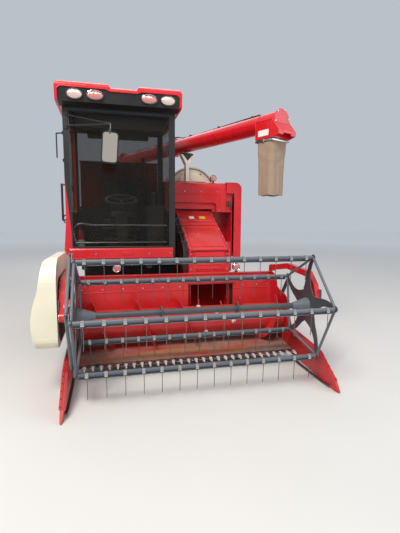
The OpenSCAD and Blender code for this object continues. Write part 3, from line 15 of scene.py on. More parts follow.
import bmesh
import bpy
from mathutils import Matrix, Vector

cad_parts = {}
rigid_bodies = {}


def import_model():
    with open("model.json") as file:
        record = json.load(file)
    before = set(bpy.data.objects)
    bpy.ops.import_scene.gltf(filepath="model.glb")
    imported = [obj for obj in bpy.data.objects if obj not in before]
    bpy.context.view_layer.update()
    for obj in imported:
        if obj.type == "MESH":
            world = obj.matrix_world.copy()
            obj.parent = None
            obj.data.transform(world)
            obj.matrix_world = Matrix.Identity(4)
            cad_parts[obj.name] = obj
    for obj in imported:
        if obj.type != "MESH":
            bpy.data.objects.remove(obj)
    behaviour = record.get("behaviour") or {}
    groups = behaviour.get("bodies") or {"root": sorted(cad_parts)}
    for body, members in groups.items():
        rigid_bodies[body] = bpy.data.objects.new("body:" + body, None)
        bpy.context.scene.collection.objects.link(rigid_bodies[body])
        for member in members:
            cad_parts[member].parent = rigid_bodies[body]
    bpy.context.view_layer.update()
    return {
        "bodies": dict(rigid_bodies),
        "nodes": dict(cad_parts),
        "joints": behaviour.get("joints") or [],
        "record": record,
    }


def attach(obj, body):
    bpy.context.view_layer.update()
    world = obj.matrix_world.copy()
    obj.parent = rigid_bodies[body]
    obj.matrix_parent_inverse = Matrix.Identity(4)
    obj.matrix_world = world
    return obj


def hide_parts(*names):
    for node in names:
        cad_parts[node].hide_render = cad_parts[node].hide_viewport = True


LOG = logging.getLogger("combine")
METRE = 1000
MIDDLE = Vector((-0.106, 2.02181, 0.0))
KNIFE_PITCH = 76.2
BATS = 5
Point = tuple[float, float, float]
Flat = tuple[float, float]


def at(x: float, y: float, z: float) -> Vector:
    """A place in the row frame, in metres.

    Args:
        x: millimetres to the left of the header's middle.
        y: millimetres behind the reel's axis.
        z: millimetres above the ground.

    Returns:
        The same place in metres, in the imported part's frame.
    """
    return Vector((x / METRE, y / METRE, z / METRE)) - MIDDLE


class Plane(Enum):
    """The plane that an outline is drawn in, named by the axis it is extruded along."""

    SIDE = "x"
    FRONT = "y"
    TOP = "z"

    def place(self, u: float, v: float, depth: float) -> Vector:
        """A point of the outline at a depth along the axis, in the row frame."""
        if self is Plane.SIDE:
            return at(depth, u, v)
        if self is Plane.FRONT:
            return at(u, depth, v)
        return at(u, v, depth)


# ---------------------------------------------------------------- the bench


class Bench:
    """The modelling operators, as they are used by hand, on one piece at a time."""

    @staticmethod
    def clear() -> None:
        """Deselects everything and leaves edit mode."""
        if bpy.context.object and bpy.context.object.mode != "OBJECT":
            bpy.ops.object.mode_set(mode="OBJECT")
        bpy.ops.object.select_all(action="DESELECT")

    @staticmethod
    def pick(piece: bpy.types.Object) -> None:
        """Makes a piece the only selected and the active one."""
        Bench.clear()
        piece.select_set(True)
        bpy.context.view_layer.objects.active = piece

    @staticmethod
    def settle(name: str) -> bpy.types.Object:
        """Names the new piece and moves its place, turn and size into its mesh.

        Args:
            name: the piece's name.

        Returns:
            The active object, with an identity transform.
        """
        piece = bpy.context.object
        bpy.ops.object.transform_apply(location=True, rotation=True, scale=True)
        piece.name = name
        piece.data.name = name
        return piece

    @staticmethod
    def box(name: str, low: Point, high: Point, bevel: float = 0.0, segments: int = 2) -> bpy.types.Object:
        """A box between two corners with bevelled edges.

        Args:
            name: the piece's name.
            low: lowest corner, millimetres.
            high: highest corner, millimetres.
            bevel: width of the bevel, millimetres.
            segments: steps of the bevel.

        Returns:
            The new piece.
        """
        a, b = at(*low), at(*high)
        Bench.clear()
        bpy.ops.mesh.primitive_cube_add(size=1, location=(a + b) / 2, scale=b - a)
        piece = Bench.settle(name)
        if bevel:
            Bench.bevel(piece, bevel, segments)
        return piece

    @staticmethod
    def bevel(piece: bpy.types.Object, width: float, segments: int = 2, angle: float = 30.0) -> None:
        """Bevels the sharp edges by a modifier and applies it."""
        Bench.pick(piece)
        mod = piece.modifiers.new("edge", "BEVEL")
        mod.width = width / METRE
        mod.segments = segments
        mod.limit_method = "ANGLE"
        mod.angle_limit = math.radians(angle)
        bpy.ops.object.modifier_apply(modifier=mod.name)

    @staticmethod
    def rod(
            name: str, a: Point, b: Point, d: float, sides: int = 20, d_end: float | None = None
    ) -> bpy.types.Object:
        """A round bar or cone from a to b, its ends' rims broken.

        Args:
            name: the piece's name.
            a: start, millimetres.
            b: end, millimetres.
            d: diameter at the start.
            sides: sides of the round.
            d_end: diameter at the end, where it tapers.

        Returns:
            The new piece.
        """
        p, q = at(*a), at(*b)
        turn = (q - p).to_track_quat("Z", "Y").to_euler()
        Bench.clear()
        bpy.ops.mesh.primitive_cone_add(
            vertices=sides, radius1=d / 2 / METRE, radius2=(d if d_end is None else d_end) / 2 / METRE,
            depth=(q - p).length, location=(p + q) / 2, rotation=turn)
        piece = Bench.settle(name)
        Bench.bevel(piece, min(1.5, d / 12), 1, 50)
        return piece

    @staticmethod
    def plate(
            name: str, outline: Sequence[Flat], plane: Plane, low: float, high: float, bevel: float = 0.0,
            segments: int = 1) -> bpy.types.Object:
        """A plate cut to an outline and extruded between two depths.

        Args:
            name: the piece's name.
            outline: its corners, millimetres.
            plane: the plane of the outline.
            low: first depth.
            high: last depth.
            bevel: width of the bevelled rim.
            segments: steps of the bevel.

        Returns:
            The new piece.
        """
        Bench.clear()
        bpy.ops.mesh.primitive_circle_add(vertices=len(outline), fill_type="NGON")
        piece = Bench.settle(name)
        for vertex, (u, v) in zip(piece.data.vertices, outline):
            vertex.co = plane.place(u, v, low)
        bpy.ops.object.mode_set(mode="EDIT")
        bpy.ops.mesh.select_all(action="SELECT")
        step = plane.place(0, 0, high) - plane.place(0, 0, low)
        bpy.ops.mesh.extrude_region_move(TRANSFORM_OT_translate={"value": step})
        bpy.ops.mesh.select_all(action="SELECT")
        bpy.ops.mesh.normals_make_consistent(inside=False)
        bpy.ops.object.mode_set(mode="OBJECT")
        if bevel:
            Bench.bevel(piece, bevel, segments)
        return piece

    @staticmethod
    def pipe(
            name: str, route: Sequence[Point], d: float, rings: int, smooth: bool = True) -> bpy.types.Object:
        """A tube bent along a route.

        Args:
            name: the piece's name.
            route: its bends, millimetres.
            d: diameter.
            rings: resolution of the tube's round.
            smooth: rounds the bends.

        Returns:
            The new piece, as a mesh with closed ends.
        """
        Bench.clear()
        bpy.ops.curve.primitive_bezier_curve_add()
        piece = Bench.settle(name)
        line = piece.data
        line.dimensions = "3D"
        line.bevel_depth = d / 2 / METRE
        line.bevel_resolution = rings
        line.resolution_u = 8 if smooth else 1
        line.use_fill_caps = True
        spline = line.splines[0]
        spline.bezier_points.add(len(route) - 2)
        for point, place in zip(spline.bezier_points, route):
            point.co = at(*place)
            point.handle_left_type = point.handle_right_type = "AUTO" if smooth else "VECTOR"
        bpy.ops.object.convert(target="MESH")
        piece = bpy.context.object
        piece.name = name
        piece.data.name = name
        return piece

    @staticmethod
    def bead(name: str, route: Sequence[Point], d: float, rings: int = 2) -> bpy.types.Object:
        """A round bead that runs straight from corner to corner."""
        return Bench.pipe(name, route, d, rings, smooth=False)

    @staticmethod
    def ring(
            name: str, centre: Point, axis: Vector, radius: float, d: float, sides: int = 40
    ) -> bpy.types.Object:
        """A round ring of round section about an axis."""
        Bench.clear()
        bpy.ops.mesh.primitive_torus_add(
            major_radius=radius / METRE, minor_radius=d / 2 / METRE, major_segments=sides, minor_segments=10,
            location=at(*centre), rotation=axis.to_track_quat("Z", "Y").to_euler())
        return Bench.settle(name)

    @staticmethod
    def copies(piece: bpy.types.Object, moves: Iterable[Matrix]) -> bpy.types.Object:
        """Copies a piece by a row of moves, each with its own mesh, and joins them.

        Args:
            piece: the piece that is modelled once.
            moves: where each copy goes, from the piece's own place.

        Returns:
            One object with all the copies.
        """
        made = []
        for move in moves:
            twin = piece.copy()
            twin.data = piece.data.copy()
            twin.data.transform(move)
            bpy.context.collection.objects.link(twin)
            made.append(twin)
        return Bench.join(piece.name, made, drop=piece)

    @staticmethod
    def join(
            name: str, parts: Sequence[bpy.types.Object], drop: bpy.types.Object | None = None
    ) -> bpy.types.Object:
        """Joins parts into one named piece.

        Args:
            name: the joined piece's name.
            parts: what is joined.
            drop: a pattern that isn't needed any more.

        Returns:
            The joined piece.
        """
        if drop is not None:
            bpy.data.objects.remove(drop)
        Bench.pick(parts[0])
        for part in parts:
            part.select_set(True)
        if len(parts) > 1:
            bpy.ops.object.join()
        piece = bpy.context.object
        piece.name = name
        piece.data.name = name
        return piece

    @staticmethod
    def smooth(piece: bpy.types.Object, angle: float = 35.0) -> bpy.types.Object:
        """Shades a piece smooth up to an angle."""
        Bench.pick(piece)
        bpy.ops.object.shade_smooth_by_angle(angle=math.radians(angle))
        return piece

    @staticmethod
    def bolt(name: str, place: Point, axis: Vector, size: float = 16.0) -> bpy.types.Object:
        """A hexagon head on a washer, its underside at the place and its head along the axis."""
        p = at(*place)
        turn = axis.to_track_quat("Z", "Y").to_euler()
        Bench.clear()
        bpy.ops.mesh.primitive_cylinder_add(
            vertices=16, radius=size * 0.62 / METRE, depth=0.0024, location=p + axis * 0.0012, rotation=turn)
        washer = Bench.settle(name)
        Bench.clear()
        bpy.ops.mesh.primitive_cylinder_add(
            vertices=6, radius=size * 0.46 / METRE, depth=size * 0.4 / METRE,
            location=p + axis * (0.0024 + size * 0.2 / METRE), rotation=turn)
        head = Bench.settle(name)
        Bench.bevel(head, 0.8, 1, 40)
        return Bench.join(name, [washer, head])

    @staticmethod
    def bolts(name: str, places: Sequence[Point], axis: Vector, size: float = 16.0) -> bpy.types.Object:
        """A row of bolts, modelled once and copied."""
        first = Bench.bolt(name, places[0], axis, size)
        start = at(*places[0])
        return Bench.copies(first, [Matrix.Translation(at(*p) - start) for p in places])


def dress(
        piece: bpy.types.Object, body: str, finish: "Finish",
        smooth: float | None = 35.0, replaces: Sequence[str] = ()) -> bpy.types.Object:
    """Gives a piece its finish, body and slot, and reports it.

    Args:
        piece: the finished mesh.
        body: the body that it rides on.
        finish: what it is made of.
        smooth: angle up to which it is shaded smooth.
        replaces: the solids that it stands for.

    Returns:
        The same piece.
    """
    if smooth is not None:
        Bench.smooth(piece, smooth)
    piece.data.materials.clear()
    piece.data.materials.append(finish.material())
    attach(piece, body)
    if replaces:
        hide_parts(*replaces)
    LOG.info("%s on %s: %d faces", piece.name, body, len(piece.data.polygons))
    return piece


def fit(
        name: str, parts: Sequence[bpy.types.Object], body: str, finish: "Finish",
        smooth: float = 35.0) -> bpy.types.Object:
    """Joins parts into one piece and dresses it, with the arguments of join and dress."""
    return dress(Bench.join(name, parts), body, finish, smooth)


def bolted(name: str, body: str, places: Sequence[Point], axis: Vector, size: float) -> bpy.types.Object:
    """A row of bright bolts on a body, their heads along the axis."""
    return dress(Bench.bolts(name, places, axis, size), body, BRIGHT)


def shift(x: float, y: float = 0.0, z: float = 0.0) -> Matrix:
    """A move by so many millimetres."""
    return Matrix.Translation(Vector((x / METRE, y / METRE, z / METRE)))


def pivoted(pivot: Vector, degrees: float, axis: str) -> Matrix:
    """A turn by so many degrees about an axis through a pivot."""
    turn = Matrix.Rotation(math.radians(degrees), 4, axis)
    return Matrix.Translation(pivot) @ turn @ Matrix.Translation(-pivot)


def turns(count: int, start: float = 0.0) -> list[float]:
    """Angles that part a full turn, in radians, the first at a share of one step."""
    return [math.tau * (i + start) / count for i in range(count)]


def around(centre: Flat, radius: float, angles: Iterable[float], tall: float | None = None) -> list[Flat]:
    """Places on a circle, or on an oval where tall is its half height."""
    high = radius if tall is None else tall
    return [(centre[0] + radius * math.cos(a), centre[1] + high * math.sin(a)) for a in angles]


def rounded(low: Flat, high: Flat, r: float, steps: int = 5) -> list[Flat]:
    """Corners of a rectangle with rounded corners, anticlockwise."""
    spots = [
        (high[0] - r, high[1] - r, 0), (low[0] + r, high[1] - r, 90), (low[0] + r, low[1] + r, 180),
        (high[0] - r, low[1] + r, 270)]
    corners = []
    for x, y, first in spots:
        corners += around((x, y), r, [math.radians(first + 90 * i / steps) for i in range(steps + 1)])
    return corners


X, Y, Z = Vector((1, 0, 0)), Vector((0, 1, 0)), Vector((0, 0, 1))


# ---------------------------------------------------------------- finishes


class Wiring:
    """A material's nodes while they are being wired."""

    def __init__(self, name: str) -> None:
        """Starts a material with a Principled shader on Object coordinates."""
        self.mat = bpy.data.materials.new(name)
        self.mat.use_nodes = True
        self.tree = self.mat.node_tree
        self.tree.nodes.clear()
        out = self.tree.nodes.new("ShaderNodeOutputMaterial")
        self.shader = self.tree.nodes.new("ShaderNodeBsdfPrincipled")
        self.tree.links.new(self.shader.outputs[0], out.inputs[0])
        self.coord = self.tree.nodes.new("ShaderNodeTexCoord").outputs["Object"]

    def put(self, **sockets: float | tuple) -> None:
        """Sets plain numbers on the shader's own sockets, underscores standing for spaces."""
        for key, value in sockets.items():
            self.shader.inputs[key.replace("_", " ")].default_value = value

    def link(self, source: bpy.types.NodeSocket, socket: str) -> None:
        """Links a value to one of the shader's sockets."""
        self.tree.links.new(source, self.shader.inputs[socket])

    def node(self, kind: str, feeds: dict | None = None, **settings: object) -> bpy.types.Node:
        """A node with its settings and what feeds it.

        Args:
            kind: the node's type.
            feeds: sockets by name or number, each a number, colour or other node's socket.
            settings: the node's own properties.

        Returns:
            The node.
        """
        made = self.tree.nodes.new(kind)
        for key, value in settings.items():
            setattr(made, key, value)
        for key, value in (feeds or {}).items():
            if isinstance(value, bpy.types.NodeSocket):
                self.tree.links.new(value, made.inputs[key])
            else:
                made.inputs[key].default_value = value
        return made

    def noise(
            self, scale: float, detail: float = 3.0, stretch: Point = (1, 1, 1), rough: float = 0.55
    ) -> bpy.types.NodeSocket:
        """Noise over the piece, drawn out along an axis where stretch is small."""
        feed = self.node(
            "ShaderNodeMapping", {0: self.coord, "Scale": stretch}
        ).outputs[0] if stretch != (1, 1, 1) else self.coord
        return self.node(
            "ShaderNodeTexNoise", {"Vector": feed, "Scale": scale, "Detail": detail, "Roughness": rough}
        ).outputs[0]

    def span(
            self, value: bpy.types.NodeSocket, a: float, b: float, low: float = 0.0, high: float = 1.0
    ) -> bpy.types.NodeSocket:
        """Maps a..b to low..high and clamps it."""
        return self.node("ShaderNodeMapRange", {0: value, 1: a, 2: b, 3: low, 4: high}).outputs[0]

    def sum(
            self, a: bpy.types.NodeSocket | float, b: bpy.types.NodeSocket | float, kind: str = "ADD"
    ) -> bpy.types.NodeSocket:
        """Joins two values by a sum or another operation, clamped to 0..1."""
        return self.node("ShaderNodeMath", {0: a, 1: b}, operation=kind, use_clamp=True).outputs[0]

    def mix(self, share: bpy.types.NodeSocket | float, a: object, b: object) -> bpy.types.NodeSocket:
        """Mixes two colours."""
        return self.node("ShaderNodeMix", {0: share, 6: a, 7: b}, data_type="RGBA").outputs[2]

    def height(self) -> bpy.types.NodeSocket:
        """Height above the ground in the rest pose, metres."""
        return self.node("ShaderNodeSeparateXYZ", {0: self.coord}).outputs[2]

    def upward(self) -> bpy.types.NodeSocket:
        """How far a surface looks up, 0 to 1."""
        normal = self.node("ShaderNodeNewGeometry").outputs["Normal"]
        return self.span(self.node("ShaderNodeSeparateXYZ", {0: normal}).outputs[2], 0.25, 1.0)

    def relief(self, *layers: tuple[bpy.types.NodeSocket, float, float]) -> None:
        """Stacks bumps, each a height, a strength and a depth in metres."""
        last = None
        for value, strength, depth in layers:
            feeds = {"Height": value, "Strength": strength, "Distance": depth}
            if last is not None:
                feeds["Normal"] = last
            last = self.node("ShaderNodeBump", feeds).outputs[0]
        self.link(last, "Normal")


def tone(colour: Point, k: float) -> tuple[float, float, float, float]:
    """A colour made lighter or darker, with full alpha."""
    return (min(1.0, colour[0] * k), min(1.0, colour[1] * k), min(1.0, colour[2] * k), 1.0)


DUST = (0.36, 0.27, 0.18, 1.0)
RUST = (0.20, 0.065, 0.02, 1.0)
MUD = (0.16, 0.115, 0.075, 1.0)


@dataclass(frozen=True)
class Finish:
    """What a piece is made of. One material is made for each finish and shared.

    Attributes:
        name: the finish's name.
        slot: the record's material slot that its pieces usually have. It is not used.
    """

    name: str
    slot: str = field(default="black_plastic", kw_only=True)

    def material(self) -> bpy.types.Material:
        """The finish's material, made when it is first asked for.

        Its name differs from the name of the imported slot's plain material, which would be found instead.
        """
        label = f"{self.name}_finish"
        made = bpy.data.materials.get(label)
        if made is None:
            wiring = Wiring(label)
            self.wire(wiring)
            made = wiring.mat
        return made

    def wire(self, w: Wiring) -> None:
        """Wires the material."""
        raise NotImplementedError


@dataclass(frozen=True)
class Paint(Finish):
    """Sprayed paint on sheet steel: orange peel, settled dust, splashed mud, rubbed spots and rust."""

    colour: Point = (0.6, 0.01, 0.02)
    rough: float = 0.3
    coat: float = 0.25
    dust: float = 0.5
    mud: float = 0.5
    wear: float = 0.1
    rust: float = 0.1
    floor_wear: bool = False

    def marked(self, w: Wiring, colour: bpy.types.NodeSocket) -> bpy.types.NodeSocket:
        """The paint's colour with the places that are sprayed in another one. Plain paint has none."""
        return colour

    def wire(self, w: Wiring) -> None:
        """Base colour under dust, mud, wear and rust, in that order from the top."""
        broad = w.noise(1.1, 4)
        fine = w.noise(46, 7, rough=0.7)
        patch = w.noise(7.5, 6, rough=0.65)
        colour = self.marked(
            w, w.mix(w.span(broad, 0.3, 0.7), tone(self.colour, 0.84), tone(self.colour, 1.1)))
        rough = w.span(patch, 0.2, 0.8, self.rough * 0.75, self.rough * 1.5)
        worn = w.sum(
            w.span(w.noise(90, 5, (1, 0.25, 1)), 0.62, 0.68), w.span(patch, 0.55 - self.wear * 0.3, 0.75),
            "MULTIPLY")
        if self.floor_wear:
            low = w.span(w.height(), 0.27, 0.17)
            streak = w.span(w.noise(5, 8, (0.3, 1.8, 1)), 0.30, 0.52)
            worn = w.sum(worn, w.sum(low, streak, "MULTIPLY"))
        metal = w.mix(w.span(fine, 0.38, 0.62), RUST, (0.24, 0.22, 0.20, 1.0))
        if self.floor_wear:
            orange = w.span(w.noise(4.2, 7, (0.22, 3.2, 1), 0.7), 0.52, 0.6)
            metal = w.mix(
                orange, w.mix(w.span(fine, 0.3, 0.7), (0.15, 0.125, 0.11, 1.0), (0.33, 0.30, 0.27, 1.0)),
                (0.46, 0.17, 0.035, 1.0))
        colour = w.mix(w.sum(worn, self.wear * 4 if not self.floor_wear else 0.92, "MULTIPLY"), colour, metal)
        spots = w.sum(w.span(w.noise(23, 8, rough=0.75), 0.64, 0.72), self.rust * 3, "MULTIPLY")
        colour = w.mix(spots, colour, RUST)
        settled = w.sum(
            w.sum(w.upward(), w.span(patch, 0.25, 0.75, 0.15, 1.0), "MULTIPLY"),
            w.span(fine, 0.2, 0.8, 0.5, 1.1), "MULTIPLY")
        film = w.sum(w.span(broad, 0.42, 0.75, 0.0, 0.16), w.sum(settled, 0.62, "MULTIPLY"))
        film = w.sum(film, self.dust, "MULTIPLY")
        colour = w.mix(film, colour, DUST)
        splash = w.sum(
            w.sum(w.span(w.height(), 0.75, 0.05), w.span(w.noise(19, 8, rough=0.7), 0.4, 0.68), "MULTIPLY"),
            self.mud, "MULTIPLY")
        colour = w.mix(splash, colour, MUD)
        w.link(colour, "Base Color")
        dull = w.sum(w.sum(film, splash), w.sum(worn, 0.4, "MULTIPLY"))
        w.link(w.sum(rough, w.sum(dull, 0.6, "MULTIPLY")), "Roughness")
        w.put(Coat_Weight=self.coat, Coat_Roughness=0.12, Specular_IOR_Level=0.5)
        w.relief((w.noise(520, 2), 0.05, 0.0006), (fine, 0.06, 0.0015), (splash, 0.25, 0.002))


@dataclass(frozen=True)
class DoorPaint(Paint):
    """The door's red paint with its grab rail, which stands out from the door, in black."""

    rail: Flat = (-1.1115, -0.60)

    def marked(self, w: Wiring, colour: bpy.types.NodeSocket) -> bpy.types.NodeSocket:
        """Black outside the door's face and ahead of its middle."""
        place = w.node("ShaderNodeSeparateXYZ", {0: w.coord})
        out = w.span(place.outputs[0], self.rail[0] + 0.001, self.rail[0])
        return w.mix(
            w.sum(out, w.span(place.outputs[1], self.rail[1], self.rail[1] - 0.01), "MULTIPLY"), colour,
            tone(CAB_BLACK, 1.0))


@dataclass(frozen=True)
class PillarPaint(Paint):
    """The cab frame's black paint; the foot of its right front post is red and widens downwards."""

    edge: float = -1.117
    top: float = 1.953
    bottom: float = 1.10
    wide: float = 0.078
    foot: Point = (0.55, 0.006, 0.013)

    def marked(self, w: Wiring, colour: bpy.types.NodeSocket) -> bpy.types.NodeSocket:
        """Red outside a slanting line down the post."""
        place = w.node("ShaderNodeSeparateXYZ", {0: w.coord})
        line = w.span(place.outputs[2], self.top, self.bottom, self.edge, self.edge + self.wide)
        gap = w.node("ShaderNodeMath", {0: line, 1: place.outputs[0]}, operation="SUBTRACT").outputs[0]
        front = w.span(place.outputs[1], -0.84, -0.85)
        return w.mix(w.sum(w.span(gap, -0.0005, 0.0005), front, "MULTIPLY"), colour, tone(self.foot, 1.0))


@dataclass(frozen=True)
class Steel(Finish):
    """Bare or cast metal with rubbed and rusty places."""

    colour: Point = (0.42, 0.42, 0.43)
    rough: float = 0.35
    metallic: float = 1.0
    rust: float = 0.2
    grain: float = 300.0

    def wire(self, w: Wiring) -> None:
        """Brushed metal under rust and grime."""
        patch = w.noise(9, 7, rough=0.65)
        fine = w.noise(60, 6, rough=0.7)
        brushed = w.noise(self.grain, 3, (1, 0.08, 1))
        rusty = w.sum(
            w.span(patch, 0.66 - self.rust * 0.35, 0.78 - self.rust * 0.25), w.span(fine, 0.3, 0.6, 0.4, 1.0),
            "MULTIPLY")
        colour = w.mix(w.span(brushed, 0.35, 0.65), tone(self.colour, 0.8), tone(self.colour, 1.12))
        w.link(w.mix(rusty, colour, RUST), "Base Color")
        w.link(w.span(rusty, 0.0, 1.0, self.metallic, 0.0), "Metallic")
        w.link(
            w.sum(
                w.span(brushed, 0.3, 0.7, self.rough * 0.8, self.rough * 1.3), w.sum(rusty, 0.5, "MULTIPLY")),
            "Roughness")
        w.relief((brushed, 0.05, 0.0005), (fine, 0.15 if self.rough > 0.5 else 0.05, 0.001))


@dataclass(frozen=True)
class Rubber(Finish):
    """Moulded rubber, greyed by dry earth."""

    colour: Point = (0.022, 0.022, 0.022)
    earth: float = 0.7

    def wire(self, w: Wiring) -> None:
        """Black rubber, earth in patches and most on what looks up."""
        patch = w.noise(12, 8, rough=0.7)
        grit = w.noise(140, 6, rough=0.75)
        cake = w.sum(
            w.sum(w.span(patch, 0.38, 0.66), w.span(grit, 0.3, 0.7, 0.4, 1.0), "MULTIPLY"), self.earth,
            "MULTIPLY")
        w.link(w.mix(cake, tone(self.colour, 1.0), MUD), "Base Color")
        w.link(w.span(cake, 0.0, 1.0, 0.55, 0.95), "Roughness")
        w.relief((grit, 0.2, 0.001), (cake, 0.5, 0.003))


@dataclass(frozen=True)
class Plastic(Finish):
    """Moulded plastic with a fine grain."""

    colour: Point = (0.016, 0.016, 0.018)
    rough: float = 0.45
    dust: float = 0.25
    grain: float = 900.0

    def wire(self, w: Wiring) -> None:
        """Grained plastic with a film of dust."""
        patch = w.noise(5, 6, rough=0.6)
        film = w.sum(w.sum(w.span(patch, 0.35, 0.8), w.sum(w.upward(), 0.25)), self.dust, "MULTIPLY")
        w.link(w.mix(film, tone(self.colour, 1.0), DUST), "Base Color")
        w.link(w.span(patch, 0.2, 0.8, self.rough * 0.8, self.rough * 1.3), "Roughness")
        w.relief((w.noise(self.grain, 2), 0.12, 0.0004))


@dataclass(frozen=True)
class Glass(Finish):
    """Tinted safety glass with a dusty film and rain marks."""

    colour: Point = (0.010, 0.009, 0.006)
    clear: float = 0.62
    film: float = 0.022

    def wire(self, w: Wiring) -> None:
        """A dark see-through sheet, cloudier at its lower edge."""
        runs = w.noise(16, 6, (1, 1, 0.10))
        low = w.span(w.height(), 1.75, 1.2)
        cloud = w.sum(w.sum(w.span(runs, 0.45, 0.8), w.sum(low, 0.45, "MULTIPLY")), self.film, "MULTIPLY")
        w.link(w.mix(cloud, tone(self.colour, 1.0), DUST), "Base Color")
        w.link(w.sum(cloud, 1 - self.clear), "Alpha")
        w.put(Roughness=0.03, Specular_IOR_Level=0.28)
        w.mat.blend_method = "BLEND"


@dataclass(frozen=True)
class Lens(Finish):
    """A lamp's moulded lens over its reflector."""

    colour: Point = (0.8, 0.6, 0.52)
    ribs: float = 130.0

    def wire(self, w: Wiring) -> None:
        """A pale glossy lens with upright ribs and pebbles."""
        ribs = w.node(
            "ShaderNodeTexWave", {"Vector": w.coord, "Scale": self.ribs, "Distortion": 1.5},
            bands_direction="X").outputs[1]
        pebble = w.node("ShaderNodeTexVoronoi", {"Vector": w.coord, "Scale": 150.0}).outputs[0]
        w.link(
            w.mix(w.sum(ribs, pebble, "MULTIPLY"), tone(self.colour, 0.72), tone(self.colour, 1.15)),
            "Base Color")
        w.put(Roughness=0.12, Metallic=0.25, Coat_Weight=0.8, Coat_Roughness=0.05)
        w.relief((ribs, 0.4, 0.001), (pebble, 0.3, 0.001))


@dataclass(frozen=True)
class Mirror(Finish):
    """Silvered glass with dust spots; the beige tint of its silver is a painted reflection of the ground."""

    def wire(self, w: Wiring) -> None:
        """A mirror, dulled in spots, its silver tinted beige as a painted reflection of the ground."""
        spots = w.span(w.noise(120, 7, rough=0.7), 0.45, 0.8, 0.0, 0.6)
        # The beige base colour is a painted reflection of the ground; the darker brown marks dust spots.
        w.link(w.mix(spots, (0.80, 0.71, 0.58, 1.0), (0.52, 0.44, 0.33, 1.0)), "Base Color")
        w.link(w.span(spots, 0.0, 0.5, 0.03, 0.4), "Roughness")
        w.put(Metallic=1.0)


@dataclass(frozen=True)
class Cloth(Finish):
    """Woven cloth: two crossing threads, creases and soil."""

    colour: Point = (0.50, 0.40, 0.33)
    thread: float = 420.0
    soil: float = 0.35

    def wire(self, w: Wiring) -> None:
        """Threads along two axes of the piece, each shading the other."""
        warp = w.node(
            "ShaderNodeTexWave", {"Vector": w.coord, "Scale": self.thread, "Distortion": 0.6},
            bands_direction="Z").outputs[1]
        weft = w.node(
            "ShaderNodeTexWave", {"Vector": w.coord, "Scale": self.thread, "Distortion": 0.6},
            bands_direction="DIAGONAL").outputs[1]
        weave = w.sum(warp, weft, "MULTIPLY")
        patch = w.noise(6, 7, (1, 1, 0.5), 0.65)
        colour = w.mix(w.span(weave, 0.0, 1.0), tone(self.colour, 0.78), tone(self.colour, 1.1))
        stain = w.sum(w.span(patch, 0.42, 0.72), self.soil, "MULTIPLY")
        w.link(w.mix(stain, colour, tone(self.colour, 0.55)), "Base Color")
        w.put(Roughness=0.92, Sheen_Weight=0.06, Sheen_Roughness=0.5, Specular_IOR_Level=0.15)
        w.relief((weave, 0.35, 0.0006), (w.noise(14, 5), 0.2, 0.004))


@dataclass(frozen=True)
class FloorFinish(Finish):
    """The studio's plain pale floor."""

    def wire(self, w: Wiring) -> None:
        """A pale warm grey with a faint mottle, paler far away, so that it shows no hard line there."""
        far = w.span(w.node("ShaderNodeVectorMath", {0: w.coord}, operation="LENGTH").outputs["Value"], 5, 24)
        near = w.mix(w.noise(0.8, 4), (0.62, 0.60, 0.57, 1.0), (0.68, 0.66, 0.63, 1.0))
        w.link(w.mix(far, near, (0.97, 0.97, 0.97, 1.0)), "Base Color")
        w.put(Roughness=0.85)


CAB_BLACK = (0.012, 0.012, 0.013)
RED = Paint(
    "red_paint", (0.63, 0.006, 0.014), rough=0.26, coat=0.35, dust=0.34, mud=0.45, wear=0.04, rust=0.02,
    slot="red_paint")
RED_HEADER = Paint(
    "red_header_paint", (0.60, 0.007, 0.014), rough=0.30, coat=0.3, dust=0.34, mud=0.5, wear=0.09, rust=0.05,
    slot="red_paint")
RED_FLOOR = Paint(
    "red_pan_paint", (0.58, 0.008, 0.014), rough=0.34, coat=0.2, dust=0.4, mud=0.35, wear=0.12, rust=0.08,
    floor_wear=True)
# A darker copy of the red paint, with less dust and mud, for the header's side plates and dividers: painted
# shade on their sideways faces.
RED_SHADED_SIDE = Paint(
    "red_side_paint", (0.50, 0.006, 0.012), rough=0.34, coat=0.25, dust=0.16, mud=0.16, wear=0.12, rust=0.08,
    slot="red_paint")
RED_DOOR = DoorPaint(
    "red_door_paint", (0.60, 0.006, 0.014), rough=0.28, coat=0.35, dust=0.3, mud=0.3, wear=0.04, rust=0.02)
CREAM = Paint(
    "cream_paint", (0.80, 0.74, 0.58), rough=0.34, coat=0.25, dust=0.25, mud=0.2, wear=0.05, rust=0.04,
    slot="cream_paint")
DARK = Paint(
    "chassis_paint", (0.028, 0.030, 0.033), rough=0.5, coat=0.0, dust=0.7, mud=0.9, wear=0.1, rust=0.12,
    slot="dark_paint")
REEL = Paint(
    "reel_paint", (0.105, 0.125, 0.150), rough=0.36, coat=0.15, dust=0.35, mud=0.1, wear=0.26, rust=0.1,
    slot="reel_steel")
REEL_DARK = Paint(
    "reel_star_paint", (0.045, 0.053, 0.064), rough=0.38, coat=0.15, dust=0.3, mud=0.15, wear=0.2, rust=0.06)
BLACK_PAINT = Paint(
    "cab_black_paint", CAB_BLACK, rough=0.28, coat=0.3, dust=0.22, mud=0.2, wear=0.04, rust=0.01)
CAB_PAINT = PillarPaint(
    "cab_frame_paint", CAB_BLACK, rough=0.28, coat=0.3, dust=0.22, mud=0.2, wear=0.04, rust=0.01)
BRIGHT = Steel("bright_steel", (0.55, 0.55, 0.54), rough=0.28, rust=0.08, slot="bare_steel")
GUARD = Steel("knife_steel", (0.88, 0.87, 0.84), rough=0.42, metallic=0.25, rust=0.04)
TINE = Steel("tine_wire", (0.20, 0.19, 0.18), rough=0.4, rust=0.35, slot="bare_steel")
CAST = Steel(
    "cast_iron", (0.06, 0.063, 0.068), rough=0.6, metallic=0.5, rust=0.25, grain=90, slot="cast_iron")
